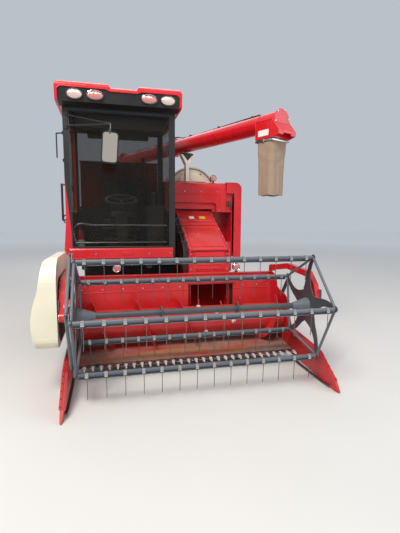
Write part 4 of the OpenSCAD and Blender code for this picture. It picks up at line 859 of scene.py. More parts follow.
CHROME = Steel("chrome_rod", (0.75, 0.76, 0.78), rough=0.1, rust=0.0, slot="bare_steel")
TRACK = Rubber("track_rubber")
RUBBER = Rubber("seal_rubber", (0.012, 0.012, 0.012), earth=0.12)
PLASTIC = Plastic("black_plastic", dust=0.14)
FASCIA = Plastic("fascia_plastic", (0.010, 0.010, 0.011), rough=0.3, dust=0.03)
PALE_PLASTIC = Plastic("pale_bush", (0.72, 0.66, 0.54), rough=0.5, dust=0.3)
BLANK = Plastic("blank_label", (0.80, 0.78, 0.74), rough=0.35, dust=0.1)
AMBER = Plastic("yellow_plate", (0.75, 0.52, 0.03), rough=0.35, dust=0.1)
GLASS = Glass("tinted_glass", slot="tinted_glass")
LENS = Lens("lamp_lens", slot="lamp_lens")
LENS_PINK = Lens("lamp_lens_pink", (0.72, 0.27, 0.25), slot="lamp_lens")
SILVER = Mirror("mirror_glass", slot="tinted_glass")
CANVAS = Cloth("canvas", (0.40, 0.285, 0.205), slot="canvas")
LINING = Plastic("cab_lining", (0.030, 0.027, 0.023), rough=0.8, dust=0.1)
SEAT_CLOTH = Cloth("seat_cloth", (0.05, 0.05, 0.055), thread=600.0, soil=0.2, slot="seat_cloth")

SOLIDS: dict[str, Finish] = {
    **dict.fromkeys([
        "thresher", "thresher_hood", "side_shield", "straw_hood", "grain_tank", "grain_elevator",
        "screen_door", "unloader_base", "cab_roof", "front_panel", "extinguisher", "feeder_house",
        "turning_post", "boom_tube", "reel_arms"], RED),
    **dict.fromkeys(["header_auger", "auger_flights"], RED_HEADER),
    # Side plates and dividers take the darker red: painted shade.
    **dict.fromkeys(["side_plates", "dividers"], RED_SHADED_SIDE), "header_pan": RED_FLOOR,
    **dict.fromkeys(["drum_cover", "header_cover", "boom_rest"], CREAM), "knife_bar": GUARD,
    **dict.fromkeys([
        "chassis_frame", "track_beams", "engine_bay", "steps", "header_barrel", "reel_barrels", "boom_barrel"
    ], DARK),
    "exhaust": CAST, "cab_frame": CAB_PAINT, "door_frame": RED_DOOR, "cab_mirrors": BLACK_PAINT,
    **dict.fromkeys(["reel_frame", "ecc_ring"], REEL_DARK),
    **dict.fromkeys([f"bat_{k}" for k in range(1, BATS + 1)], REEL),
    **dict.fromkeys(["track_wheels", "gearbox", "engine_block"], CAST), "feeder_drive": CAST,
    **dict.fromkeys(["header_rod", "reel_rods", "boom_rod"], CHROME),
    **dict.fromkeys(["track_left", "track_right"], TRACK),
    **dict.fromkeys(["fuel_tank", "cab_console"], PLASTIC), "lamp_fascia": FASCIA,
    **dict.fromkeys(["cab_glass", "door_glass"], GLASS), "lamps": BLACK_PAINT, "header_lamp": BLACK_PAINT,
    "cab_seat": SEAT_CLOTH, "sleeve": CANVAS,
}


# ---------------------------------------------------------------- sub-assemblies


@dataclass
class Reel:
    """The tined reel: five bats with clips and wire tines, rim rods, hubs and cranks."""

    radius: float = 474
    height: float = 700
    turn: float = 8
    half: float = 1044
    tine: float = 206
    pitch: float = 150
    tube: float = 34
    ecc: Flat = (30, 50)
    star_x: float = 1050
    crank_x: float = 1066
    ring_x: float = 1082

    def spot(self, k: int) -> Flat:
        """Place of a bat's axis, as y and z."""
        a = math.radians(self.turn + 360 / BATS * k)
        return -self.radius * math.cos(a), self.height + self.radius * math.sin(a)

    def tine_row(self) -> list[float]:
        """The x of each tine on a bat."""
        n = int((2 * self.half - 90) // self.pitch)
        return [(i - n / 2) * self.pitch for i in range(n + 1)]

    def bat(self, k: int) -> None:
        """One bat: tube, channel, crank, pins, wire tines and their clips."""
        y, z = self.spot(k)
        body = f"bat_{k + 1}"
        e = math.hypot(*self.ecc)
        ey, ez = self.ecc[0] / e, self.ecc[1] / e
        tube = Bench.rod(f"{body}_tube", (-self.half, y, z), (self.half, y, z), self.tube, 24)
        channel = Bench.plate(
            f"{body}_channel", [
                (y + 4, z - 6), (y + 11, z - 6), (y + 11, z - 35), (y - 9, z - 35), (y - 9, z - 31),
                (y + 6, z - 30)],
            Plane.SIDE, -self.half + 10, self.half - 10, 1.0)
        foot, eye = (y - 14 * ey, z - 14 * ez), (y + self.ecc[0] + 12 * ey, z + self.ecc[1] + 12 * ez)
        across = (-ez * 14, ey * 14)
        crank = Bench.plate(
            f"{body}_crank", [
                (foot[0] + across[0], foot[1] + across[1]), (foot[0] - across[0], foot[1] - across[1]),
                (eye[0] - across[0], eye[1] - across[1]), (eye[0] + across[0], eye[1] + across[1])],
            Plane.SIDE, -self.crank_x - 8, -self.crank_x, 2.0)
        pins = [
            Bench.rod("pin", (-self.crank_x - 8, y, z), (-self.half, y, z), 20),
            Bench.rod("pin", (self.half, y, z), (self.star_x + 18, y, z), 20),
            Bench.rod(
                "pin", (-self.ring_x - 12, y + self.ecc[0], z + self.ecc[1]),
                (-self.crank_x - 8, y + self.ecc[0], z + self.ecc[1]), 16)]
        whole = Bench.join(f"{body}_bar", [tube, channel, crank, *pins])
        dress(whole, body, REEL, replaces=[body])
        rows = self.tine_row()
        route = [
            (rows[0] + 13 * math.sin(t), y - 4 - 13 * math.cos(t), z - 18 + 1.2 * t)
            for t in (0.0, 0.8, 1.6, 2.4, 3.2, 4.0, 4.8, 5.6, 6.3)]
        drop = [
            (
                rows[0] + 2 + 2 * math.sin(3 * s), y - 15 + 5 * math.sin(math.pi * s) + 9 * s * s,
                z - 20 - s * (self.tine - 20))
            for s in (0.0, 0.15, 0.3, 0.45, 0.6, 0.75, 0.9, 1.0)]
        wire = Bench.pipe(
            f"{body}_tines", [
                (rows[0] + 2, y - 12, z + 16), (rows[0] + 1, y - 18, z + 4), (rows[0], y - 18, z - 8),
                *route[1:4], *drop],
            6, 1)
        moves = [shift(x - rows[0]) for x in rows]
        dress(Bench.copies(wire, moves), body, TINE, smooth=60)
        clip = Bench.plate(
            f"{body}_clips", [
                (y - 19, z - 14), (y - 22, z - 4), (y - 19, z + 12), (y - 8, z + 20), (y + 4, z + 20),
                (y + 13, z + 13), (y + 16, z + 2), (y + 16, z - 8), (y + 12, z - 8), (y + 14, z + 2),
                (y + 11, z + 11), (y + 3, z + 17.6), (y - 7, z + 17.6), (y - 16, z + 10), (y - 18.5, z - 3),
                (y - 16, z - 14)],
            Plane.SIDE, rows[0] - 12, rows[0] + 12)
        lug = Bench.box("lug", (rows[0] - 15, y - 25, z - 22), (rows[0] + 15, y - 13, z - 6), 3)
        dress(Bench.copies(Bench.join(f"{body}_clips", [clip, lug]), moves), body, BRIGHT)

    def ends(self) -> None:
        """Rim rods between the bats' ends on the stars and the eccentric ring, with caps, hubs and bolts."""
        rods, caps = [], []
        for side in (-1, 1):
            x = side * (self.star_x + 4)
            for k in range(BATS):
                a, b = self.spot(k), self.spot(k + 1)
                rods.append(Bench.rod("rim", (x, *a), (x, *b), 24, 14))
                y, z = a
                caps.append(Bench.rod("cap", (x + side * 4, y, z), (x + side * 12, y, z), 40, 20))
        fit("reel_rim_rods", rods, "reel", REEL)
        turned = [[
            (-self.ring_x - 7, y + self.ecc[0], z + self.ecc[1]) for y, z in (self.spot(k), self.spot(k + 1))
        ] for k in range(BATS)]
        fit("ring_rim_rods", [Bench.rod("rim", a, b, 26, 14) for a, b in turned], "eccentric", REEL)
        fit("reel_tip_caps", caps, "reel", REEL)
        for side in (-1, 1):
            face = Bench.rod(
                "hub", (side * (self.star_x + 8), 0, self.height),
                (side * (self.star_x + 13), 0, self.height), 150, 32)
            cone = Bench.rod(
                "cone", (side * (self.star_x - 150), 0, self.height), (side * self.star_x, 0, self.height),
                60, 28, 150)
            places = [(side * (self.star_x + 13), y, z) for y, z in around((0, self.height), 56, turns(6))]
            ring = Bench.bolts("hub_bolt", places, X * side, 14)
            fit("reel_hub_left" if side > 0 else "reel_hub_right", [face, cone, ring], "reel", REEL)

    def arms(self) -> None:
        """Caps, bolts and the grey clamp plates on the two arms that carry the reel."""
        for side, label in ((-1, "right"), (1, "left")):
            x = side * 1190
            cap = Bench.rod("cap", (x, 1038, 935), (x + side * 6, 1038, 935), 62, 28)
            bearing = Bench.rod("cap", (x, 0, self.height), (x + side * 4, 0, self.height), 74, 28)
            nuts = Bench.bolts(
                "nut", [
                    (x, y, z)
                    for y, z in ((150, 964), (90, 905), (40, 800), (300, 978), (560, 994), (760, 974))],
                X * side, 15)
            fit(f"arm_caps_{label}", [cap, bearing, nuts], "reel_carrier", BRIGHT)
            clamp = Bench.box(
                f"arm_clamp_{label}", (x - 3 if side > 0 else x - 5, -24, 756),
                (x + 5 if side > 0 else x + 3, 60, 846), 3)
            dress(clamp, "reel_carrier", REEL)

    def build(self) -> None:
        """Builds the whole reel."""
        for k in range(BATS):
            self.bat(k)
        self.ends()
        self.arms()


@dataclass
class Header:
    """The cutting header: knife, auger fingers, seams, bolts, dividers and the drive cover."""

    half: float = 1128
    knife: Flat = (380, 120)
    auger: Flat = (740, 415)
    tube: float = 300
    wall: float = 1000
    top: float = 890
    feeder: Flat = (120, 620)

    def knife_sections(self) -> None:
        """The saw-toothed blades over the guards, the clips that hold them and their bar."""
        n = int((2 * self.half - 40) // KNIFE_PITCH)
        x = -n / 2 * KNIFE_PITCH + KNIFE_PITCH / 2
        y, z = self.knife
        blade = Bench.plate(
            "knife_sections", [
                (x - 36, y - 34), (x - 8, y - 96), (x + 8, y - 96), (x + 36, y - 34), (x + 36, y - 20),
                (x - 36, y - 20)],
            Plane.TOP, z + 7, z + 10, 0.8)
        moves = [shift(KNIFE_PITCH * i) for i in range(n)]
        dress(Bench.copies(blade, moves), "header", BRIGHT)
        bar = Bench.box(
            "knife_back", (-self.half + 12, y - 26, z + 6.5), (self.half - 12, y - 6, z + 13), 1.5)
        nuts = Bench.bolts(
            "knife_nuts", [(x + KNIFE_PITCH * i, y - 16, z + 13) for i in range(0, n, 2)], Z, 11)
        fit("knife_back", [bar, nuts], "header", TINE)
        hold = Bench.box("knife_clips", (x - 18, y - 60, z + 10.5), (x + 18, y - 2, z + 16), 2)
        dress(
            Bench.copies(hold, [shift(KNIFE_PITCH * i) for i in range(2, n, 5)]), "header", CAST)

    def fingers(self) -> None:
        """The pale bushes round the auger's fingers."""
        bushes = []
        for k in range(8):
            a = math.radians(135 * k)
            x = self.feeder[0] + 40 + k * 60
            out = Vector((0, -math.sin(a), math.cos(a)))
            reach = [self.tube / 2 + off for off in (-4, 13)]
            foot, tip = ((x, self.auger[0] + out.y * r, self.auger[1] + out.z * r) for r in reach)
            bushes.append(Bench.rod("bush", foot, tip, 52, 20, 34))
        fit("finger_bushes", bushes, "auger", PALE_PLASTIC)

    def wall_details(self) -> None:
        """Seam beads, lip, shield, bolts, rear strips and the inlet's seals on the back wall."""
        y = self.wall - 0.5
        seam = Bench.bead("seam", [(-self.half + 4, y, 705), (self.feeder[0] - 24, y, 705)], 9)
        seam2 = Bench.bead("seam", [(self.feeder[1] + 24, y, 705), (self.half - 4, y, 705)], 9)
        lip = Bench.plate(
            "lip", [
                (y - 16, self.top + 0.5), (y + 4, self.top + 4), (y + 4, self.top - 26), (y, self.top - 26),
                (y, self.top - 4), (y - 16, self.top - 5)],
            Plane.SIDE, -self.half + 2, self.half - 2, 1.0)
        shield = Bench.plate(
            "shield", rounded((self.feeder[0] - 40, 772), (self.feeder[1] + 45, 862), 10, 3), Plane.FRONT,
            y - 14, y + 0.4, 4, 2)
        fit("wall_beads", [seam, seam2, lip, shield], "header", RED_HEADER)
        places = [
            (x, y - 0.5, z) for x in (-1080, -860, -640, -420, -200, 0, 760, 940, 1080) for z in (740, 845)]
        bolted("wall_bolts", "header", places, -Y, 14)
        strips = [
            Bench.box("strip", (x, self.wall + 68, 210), (x + 8, self.wall + 76, self.top - 4), 1)
            for x in (-900, -200, 800)]
        fit("rear_strips", strips, "header", RED_HEADER)
        sides = [
            Bench.box("seal", (x, self.wall + 56, 212), (x + 50, self.wall + 67.5, 758), 2)
            for x in (self.feeder[0] - 47.5, self.feeder[1] - 2.5)]
        fit("inlet_seals", sides, "header", RUBBER)

    def dividers(self) -> None:
        """Worn edge strips with studs and skid shoes on the two dividers."""
        line = [(-385, 90), (-110, 272), (440, 332)]
        (y0, z0), (y1, z1), (y2, z2) = line
        for side, label in ((-1, "right"), (1, "left")):
            x0, x1 = sorted((side * (self.half + 7), side * (self.half + 44)))
            outline = [*line, (y2, z2 + 5), (y1 - 3, z1 + 5), (y0 - 3, z0 + 4)]
            xa, xb = (x0 + 16, x1) if side > 0 else (x0, x1 - 16)
            strip = Bench.plate(
                f"divider_edge_{label}", outline, Plane.SIDE, xa, xb - 6 if side > 0 else xb, 0.8)
            # The divider's edge strip takes the darker red: painted shade.
            dress(strip, "header", RED_SHADED_SIDE)
            dots = []
            for i in range(15):
                y = -370 + 780 * (i / 14)
                z = z0 + (z1 - z0) * (y - y0) / (y1 - y0) if y < y1 else z1 + (z2 - z1) * (y - y1) / (y2 - y1)
                dots.append(((xa + xb) / 2, y, z + 4.5))
            dress(
                Bench.bolts(f"divider_studs_{label}", dots, Vector((0, -0.3, 0.95)).normalized(), 10),
                "header", CAST)
            shoe = Bench.plate(
                f"skid_{label}",
                [(-330, 22), (-200, 8), (260, 10), (400, 46), (400, 54), (250, 20), (-200, 17), (-325, 30)],
                Plane.SIDE, side * (self.half + 2) - 14, side * (self.half + 2) + 14, 1)
            dress(shoe, "header", TINE)

    def cover(self) -> None:
        """A dark gasket and bolts on the cream drive cover."""
        gasket = Bench.plate(
            "cover_gasket", rounded((60, 450), (940, 1010), 120, 5), Plane.SIDE, -1207, -1200.5, 1)
        dress(gasket, "header", RUBBER)
        places = [(-1402, 150, 690), (-1402, 700, 690)]
        bolted("cover_bolts", "header", places, -X, 20)

    def lamp(self) -> None:
        """Bezel, lens and shell of the work lamp beside the feeder."""
        work_lamp("header_lamp_glass", (690, self.wall + 40, self.top + 62), "header")

    def build(self) -> None:
        """Builds the header's details."""
        self.knife_sections()
        self.fingers()
        self.wall_details()
        self.dividers()
        self.cover()
        self.lamp()


def work_lamp(name: str, place: Point, body: str, lens: Lens = LENS_PINK) -> None:
    """A round work lamp's bright bezel, domed lens and shell, in front of its housing.

    Args:
        name: the lens's name.
        place: the lamp's middle.
        body: the body that it rides on.
        lens: the lens's finish.
    """
    x, y, z = place
    dress(Bench.ring(f"{name}_bezel", (x, y - 20, z), Y, 41, 9), body, CHROME)
    Bench.clear()
    bpy.ops.mesh.primitive_uv_sphere_add(
        segments=32, ring_count=16, radius=0.039, location=at(x, y - 17, z), scale=(1, 0.3, 1))
    dress(Bench.settle(name), body, lens, smooth=60)
    back = Bench.rod(f"{name}_shell", (x, y + 19, z), (x, y + 46, z), 84, 28, 40)
    dress(back, body, BLACK_PAINT)


@dataclass
class Feeder:
    """The feeder house: panels, bolts, plates and the pipes along its cab side."""

    x0: float = 120
    x1: float = 620
    knee: Flat = (1084.3, 1165)
    crest: Flat = (1980, 1630)
    body: str = "header"

    def slope(self, t: float, lift: float = 0.0) -> Flat:
        """A place on the sloping cover, as y and z.

        Args:
            t: 0 at the knee, 1 at the crest.
            lift: height above the sheet, square to it.
        """
        u = Vector((self.crest[0] - self.knee[0], self.crest[1] - self.knee[1])).normalized()
        y = self.knee[0] + (self.crest[0] - self.knee[0]) * t - u.y * lift
        z = self.knee[1] + (self.crest[1] - self.knee[1]) * t + u.x * lift
        return y, z

    def band(self, t0: float, t1: float, low: float, high: float) -> list[Flat]:
        """Outline of a strip that lies on the slope from t0 to t1."""
        return [self.slope(t0, low), self.slope(t1, low), self.slope(t1, high), self.slope(t0, high)]

    def cover(self) -> None:
        """Raised panels, the ridge near the top, edge beads, a lip, bolts and two blank plates."""
        parts = [
            Bench.plate("panel", self.band(0.05, 0.52, -2, 7), Plane.SIDE, self.x0 + 44, self.x1 - 54, 4, 2),
            Bench.plate("ridge", self.band(0.58, 0.63, -2, 16), Plane.SIDE, self.x0 + 4, self.x1 - 4, 6, 3),
            Bench.plate("panel", self.band(0.68, 0.92, -2, 6), Plane.SIDE, self.x0 + 30, self.x1 - 40, 3, 2)]
        for x in (self.x0 + 6, self.x1 - 22):
            parts.append(Bench.plate("edge", self.band(0.0, 0.97, -2, 9), Plane.SIDE, x, x + 16, 3, 2))
            parts.append(Bench.box("edge", (x, 1056, 330), (x + 16, 1070, 1160), 3))
        parts.append(Bench.box("lip", (self.x0 + 2, 1054, 1150), (self.x1 - 2, 1090, 1166), 5))
        fit("feeder_panels", parts, self.body, RED)
        places = []
        for t in (0.1, 0.28, 0.47, 0.74, 0.88):
            for x in (self.x0 + 14, self.x1 - 14):
                y, z = self.slope(t, 9)
                places.append((x, y, z))
        bolted("feeder_bolts", self.body, places, Vector((0, -0.46, 0.887)), 15)
        for k, (x, w, finish) in enumerate(((self.x0 + 150, 70, BLANK), (self.x0 + 290, 84, AMBER))):
            plate = Bench.plate(f"feeder_plate_{k}", self.band(0.76, 0.83, 6, 7.6), Plane.SIDE, x, x + w, 0.6)
            dress(plate, self.body, finish)

    def face(self) -> None:
        """The pressed panel above the header's wall, its ribs and its pins."""
        parts = [
            Bench.plate(
                "pressing", rounded((self.x0 + 70, 930), (self.x1 - 80, 1128), 22, 4), Plane.FRONT, 1050,
                1064, 5, 3)]
        for z in (985, 1040, 1090):
            parts.append(Bench.bead("rib", [(self.x0 + 100, 1050, z), (self.x1 - 110, 1050, z)], 12))
        fit("feeder_face", parts, self.body, RED)
        places = [(x, 1063, z) for x in (self.x0 + 24, self.x1 - 34) for z in (930, 1020, 1110)]
        bolted("feeder_face_bolts", self.body, places, -Y, 16)

    def pipes(self) -> None:
        """Rigid oil pipes with clips and a wiring conduit along the cab side."""
        parts = []
        for k, (dx, d) in enumerate(((-16, 18), (-36, 14), (-54, 22))):
            route = [(self.x0 + dx, 1078, 940 - 30 * k), (self.x0 + dx, 1078, 1100)]
            route += [
                (self.x0 + dx, *self.slope(t, 14)) for t in (0.06, 0.2, 0.35, 0.5, 0.65, 0.78 - 0.03 * k)]
            route.append((self.x0 + 6, *self.slope(0.82 - 0.03 * k, 14)))
            parts.append(Bench.pipe("pipe", route, d, 3))
        fit("feeder_pipes", parts, self.body, RUBBER)
        clips = []
        for t in (0.12, 0.34, 0.54, 0.70):
            clips.append(
                Bench.plate(
                    "clip", self.band(t, t + 0.022, 0, 30), Plane.SIDE, self.x0 - 68, self.x0 + 8, 3, 2))
        fit("feeder_clips", clips, self.body, CAST)

    def build(self) -> None:
        """Builds the feeder's details."""
        self.cover()
        self.face()
        self.pipes()


@dataclass
class Cab:
    """The cab: seals, roof trim, lamps, door fittings, front panel, mirrors and the driver's place."""

    x0: float = -1222
    x1: float = -40
    y0: float = 1070
    y1: float = 2130
    floor: float = 1100
    sill: float = 1197
    glass: float = 2673
    roof: float = 2920
    middle: float = -631
    half_roof: float = 646
    roof_front: float = 916
    lamps: tuple[float, ...] = (-453, -231, 309, 494)

    def seal(self, name: str, corners: Sequence[Point], d: float = 16) -> bpy.types.Object:
        """A rubber seal along a closed line of corners."""
        return Bench.bead(name, [*corners, corners[0]], d)

    def seals(self) -> None:
        """Rubber seals round the windscreen, the rear and left windows and the door's window."""
        a, b, z0, z1 = self.x0 + 62, self.x1 - 62, self.sill + 6, self.glass - 44
        front = self.seal(
            "seal", [(a, self.y0 + 2, z0), (b, self.y0 + 2, z0), (b, self.y0 + 2, z1), (a, self.y0 + 2, z1)],
            18)
        rear = self.seal(
            "seal", [
                (a, self.y1 - 20, self.floor + 570), (b, self.y1 - 20, self.floor + 570),
                (b, self.y1 - 20, z1), (a, self.y1 - 20, z1)])
        c, d = self.y0 + 64, self.y1 - 64
        left = self.seal(
            "seal", [
                (self.x1 - 20, c, self.floor + 270), (self.x1 - 20, d, self.floor + 270),
                (self.x1 - 20, d, z1), (self.x1 - 20, c, z1)])
        fit("cab_seals", [front, rear, left], "root", RUBBER, smooth=60)
        e, f, g, h = self.y0 + 130, self.y1 - 130, self.floor + 490, self.glass - 110
        door = self.seal(
            "door_seal", [(self.x0 + 5, e, g), (self.x0 + 5, f, g), (self.x0 + 5, f, h), (self.x0 + 5, e, h)])
        dress(door, "cab_door", RUBBER, smooth=60)

    def roof_trim(self) -> None:
        """Rim bead, seams, hatch and rear air grille on the roof; bezels, lenses and brows on its lamps."""
        z = self.roof - 99
        left, right = self.middle - self.half_roof + 27, self.middle + self.half_roof - 27
        dip0, dip1 = self.middle + 35 - 135, self.middle + 35 + 135
        y = self.roof_front + 3
        rim = Bench.bead(
            "rim", [
                (left, y, z - 26), (left + 26, y, z), (dip0 - 48, y, z), (dip0, y, z - 18), (dip1, y, z - 18),
                (dip1 + 48, y, z), (right - 26, y, z), (right, y, z - 26)],
            13)
        seam = [
            Bench.bead("seam", [(x, self.y0 + 170, self.roof - 2), (x, self.y1 - 170, self.roof - 2)], 10)
            for x in (self.middle - 330, self.middle + 390)]
        hatch = Bench.plate(
            "hatch", rounded((self.middle - 150, 1380), (self.middle + 220, 1780), 60), Plane.TOP,
            self.roof - 36, self.roof - 16, 8, 3)
        fit("roof_trim", [rim, *seam, hatch], "root", RED)
        grille = [
            Bench.box(
                "slat", (self.middle - 300 + 44 * i, self.y1 + 42, 2735),
                (self.middle - 280 + 44 * i, self.y1 + 54, 2815), 2)
            for i in range(14)]
        fit("roof_grille", grille, "root", PLASTIC)
        for k, (dx, aside) in enumerate(zip(self.lamps, (0, -22, -14, 0))):
            x, zl = self.middle + dx + aside, self.roof - 166
            inner = k in (1, 2)
            wide, tall = (82, 46) if inner else (76, 49)
            oval = [
                (u, self.roof_front + 6, v) for u, v in around((x, zl), wide, [*turns(40), math.tau], tall)]
            dress(Bench.bead(f"roof_lamp_bezel_{k}", oval, 12, 3), "root", PLASTIC)
            Bench.clear()
            bpy.ops.mesh.primitive_uv_sphere_add(
                segments=36, ring_count=18, radius=0.05, location=at(x, self.roof_front + 8, zl),
                scale=(wide / 52, 0.36, tall / 52))
            dress(Bench.settle(f"roof_lamp_lens_{k}"), "root", LENS_PINK if inner else LENS, smooth=60)
            if inner:
                arc = around(
                    (x, zl), wide - 3, [math.radians(28 + 124 * i / 16) for i in range(17)], tall - 1)
                brow = Bench.bead(f"roof_lamp_brow_{k}", [(u, self.roof_front - 3, v) for u, v in arc], 9, 3)
                dress(brow, "root", CHROME)

    def panel(self) -> None:
        """The red panel under the windscreen: a bare badge's place, two lips and screws."""
        zc = (self.floor + self.sill) / 2 - 20
        boss = Bench.plate(
            "boss", rounded((self.middle - 20, zc - 16), (self.middle + 130, zc + 26), 20), Plane.FRONT,
            self.y0 - 34, self.y0 - 29.5, 1.5, 2)
        lip = Bench.bead(
            "lip",
            [(self.x0 + 34, self.y0 - 24, self.sill - 12), (self.x1 - 34, self.y0 - 24, self.sill - 12)], 8)
        low = Bench.bead(
            "lip",
            [(self.x0 + 34, self.y0 - 27, self.floor - 16), (self.x1 - 34, self.y0 - 27, self.floor - 16)], 8)
        fit("front_panel_trim", [boss, lip, low], "root", RED)
        places = [(x, self.y0 - 30, zc) for x in (self.x0 + 60, self.x0 + 300, self.x1 - 300, self.x1 - 60)]
        bolted("front_panel_screws", "root", places, -Y, 13)

    def door(self) -> None:
        """The door's pressed skin, its handle and its screws."""
        x = self.x0 + 6
        low = [
            (x + 2, self.floor + 10), (x - 38, self.floor + 10), (x - 42, self.floor + 40),
            (x - 9, self.floor + 470), (x + 2, self.floor + 480)]
        high = [
            (x + 2, self.floor + 470), (x - 9, self.floor + 466), (x - 3, self.floor + 846),
            (x + 2, self.floor + 850)]
        skin = [
            Bench.plate("skin", low, Plane.FRONT, self.y0 + 128, self.y1 - 96, 7, 3),
            Bench.plate("skin", high, Plane.FRONT, self.y0 + 70, self.y0 + 112, 3, 2),
            Bench.plate("skin", low, Plane.FRONT, self.y0 + 70, self.y0 + 124, 7, 3)]
        fit("door_skin", skin, "cab_door", RED)
        handle = [
            Bench.box(
                "plate", (x - 16, self.y0 + 200, self.floor + 350), (x - 6, self.y0 + 250, self.floor + 470),
                3),
            Bench.pipe(
                "grip", [
                    (x - 14, self.y0 + 225, self.floor + 455), (x - 46, self.y0 + 226, self.floor + 445),
                    (x - 46, self.y0 + 226, self.floor + 375), (x - 14, self.y0 + 225, self.floor + 365)],
                14, 2)]
        fit("door_handle", handle, "cab_door", PLASTIC)
        screws = [
            (x - 41.5 + (z - 40) * 33 / 430, y, self.floor + z) for z in (80, 380)
            for y in (self.y0 + 97, self.y0 + 170, self.y1 - 140)]
        bolted("door_screws", "cab_door", screws, -X, 12)

    def mirror(self) -> None:
        """The mirror's glass on its driver's side, its shell and its clamp."""
        centre = (self.middle - 118, self.y0 - 330, self.glass - 461)
        turn = pivoted(at(*centre), 4, "Y")
        glass = Bench.plate(
            "mirror_glass", rounded((centre[0] - 70, centre[2] - 142), (centre[0] + 70, centre[2] + 142), 28),
            Plane.FRONT, centre[1] - 17, centre[1] - 14.5, 0.8)
        glass.data.transform(turn)
        dress(glass, "root", SILVER)
        shell = Bench.plate(
            "mirror_shell", rounded((centre[0] - 66, centre[2] - 136), (centre[0] + 66, centre[2] + 136), 26),
            Plane.FRONT, centre[1] + 13, centre[1] + 24, 8, 3)
        shell.data.transform(turn)
        clamp = Bench.rod(
            "clamp", (centre[0] + 2, centre[1] - 4, centre[2] + 128),
            (centre[0] + 2, centre[1] - 4, centre[2] + 176), 30, 20)
        fit("mirror_shell", [shell, clamp], "root", PLASTIC)

    def inside(self) -> None:
        """Levers' knobs, sun visor, console panel and dash, the rails and the lining."""
        x, y, f = self.middle, self.y0, self.floor
        knobs = []
        for dy in (420, 520, 620):
            Bench.clear()
            bpy.ops.mesh.primitive_uv_sphere_add(
                segments=20, ring_count=12, radius=0.021, location=at(x + 400, y + dy, f + 716),
                scale=(1, 1, 1.35))
            knobs.append(Bench.settle("knob"))
        knobs.append(
            Bench.box(
                "visor", (self.x0 + 120, y + 60, self.glass - 190), (self.x1 - 120, y + 66, self.glass - 60),
                2))
        knobs.append(Bench.box("panel", (x + 310, y + 310, f + 560), (x + 490, y + 890, f + 574), 5))
        knobs.append(
            Bench.plate(
                "dash", [(y + 176, f + 440), (y + 200, f + 500), (y + 310, f + 486), (y + 306, f + 430)],
                Plane.SIDE, x - 120, x + 120, 8, 2))
        fit("cab_controls", knobs, "root", PLASTIC)
        rails = [
            Bench.pipe(
                "rail", [
                    (self.x0 + 90, y + 40, f + 130), (self.x0 + 90, y + 30, f + 330),
                    (self.x0 + 300, y + 30, f + 340), (self.x1 - 90, y + 30, f + 340)],
                22, 3),
            Bench.bead("rail", [(self.x0 + 90, y + 40, f + 150), (self.x1 - 90, y + 40, f + 150)], 18)]
        fit("cab_rails", rails, "root", BRIGHT)
        lining = [
            Bench.box(
                "ceiling", (self.x0 + 64, y + 64, self.glass - 34),
                (self.x1 - 64, self.y1 - 64, self.glass - 24), 4),
            Bench.box("mat", (self.x0 + 70, y + 66, f + 0.5), (self.x1 - 70, self.y1 - 70, f + 9), 3),
            Bench.box(
                "duct", (self.x0 + 200, self.y1 - 150, self.glass - 120),
                (self.x1 - 200, self.y1 - 66, self.glass - 36), 16, 3)]
        fit("cab_lining", lining, "root", LINING)

    def bottle(self) -> None:
        """The extinguisher's valve, handle and a blank band round it."""
        x, y, z = self.x0 + 130, self.y0 + 140, self.floor
        band = Bench.rod("extinguisher_band", (x, y, z + 90), (x, y, z + 180), 92.5, 40)
        dress(band, "root", BLANK)
        valve = [
            Bench.rod("valve", (x, y, z + 296), (x, y, z + 330), 26, 16),
            Bench.box("grip", (x - 12, y - 74, z + 326), (x + 12, y + 16, z + 340), 3),
            Bench.box("strap", (x - 50, y - 4, z + 60), (x + 50, y + 60, z + 76), 3)]
        fit("extinguisher_valve", valve, "root", PLASTIC)

    def build(self) -> None:
        """Builds the cab's details."""
        self.seals()
        self.roof_trim()
        self.panel()
        self.door()
        self.mirror()
        self.inside()
        self.bottle()
        work_lamp("cab_work_lamp_glass", (self.middle - 71, self.y0 + 35, self.floor - 140), "root")


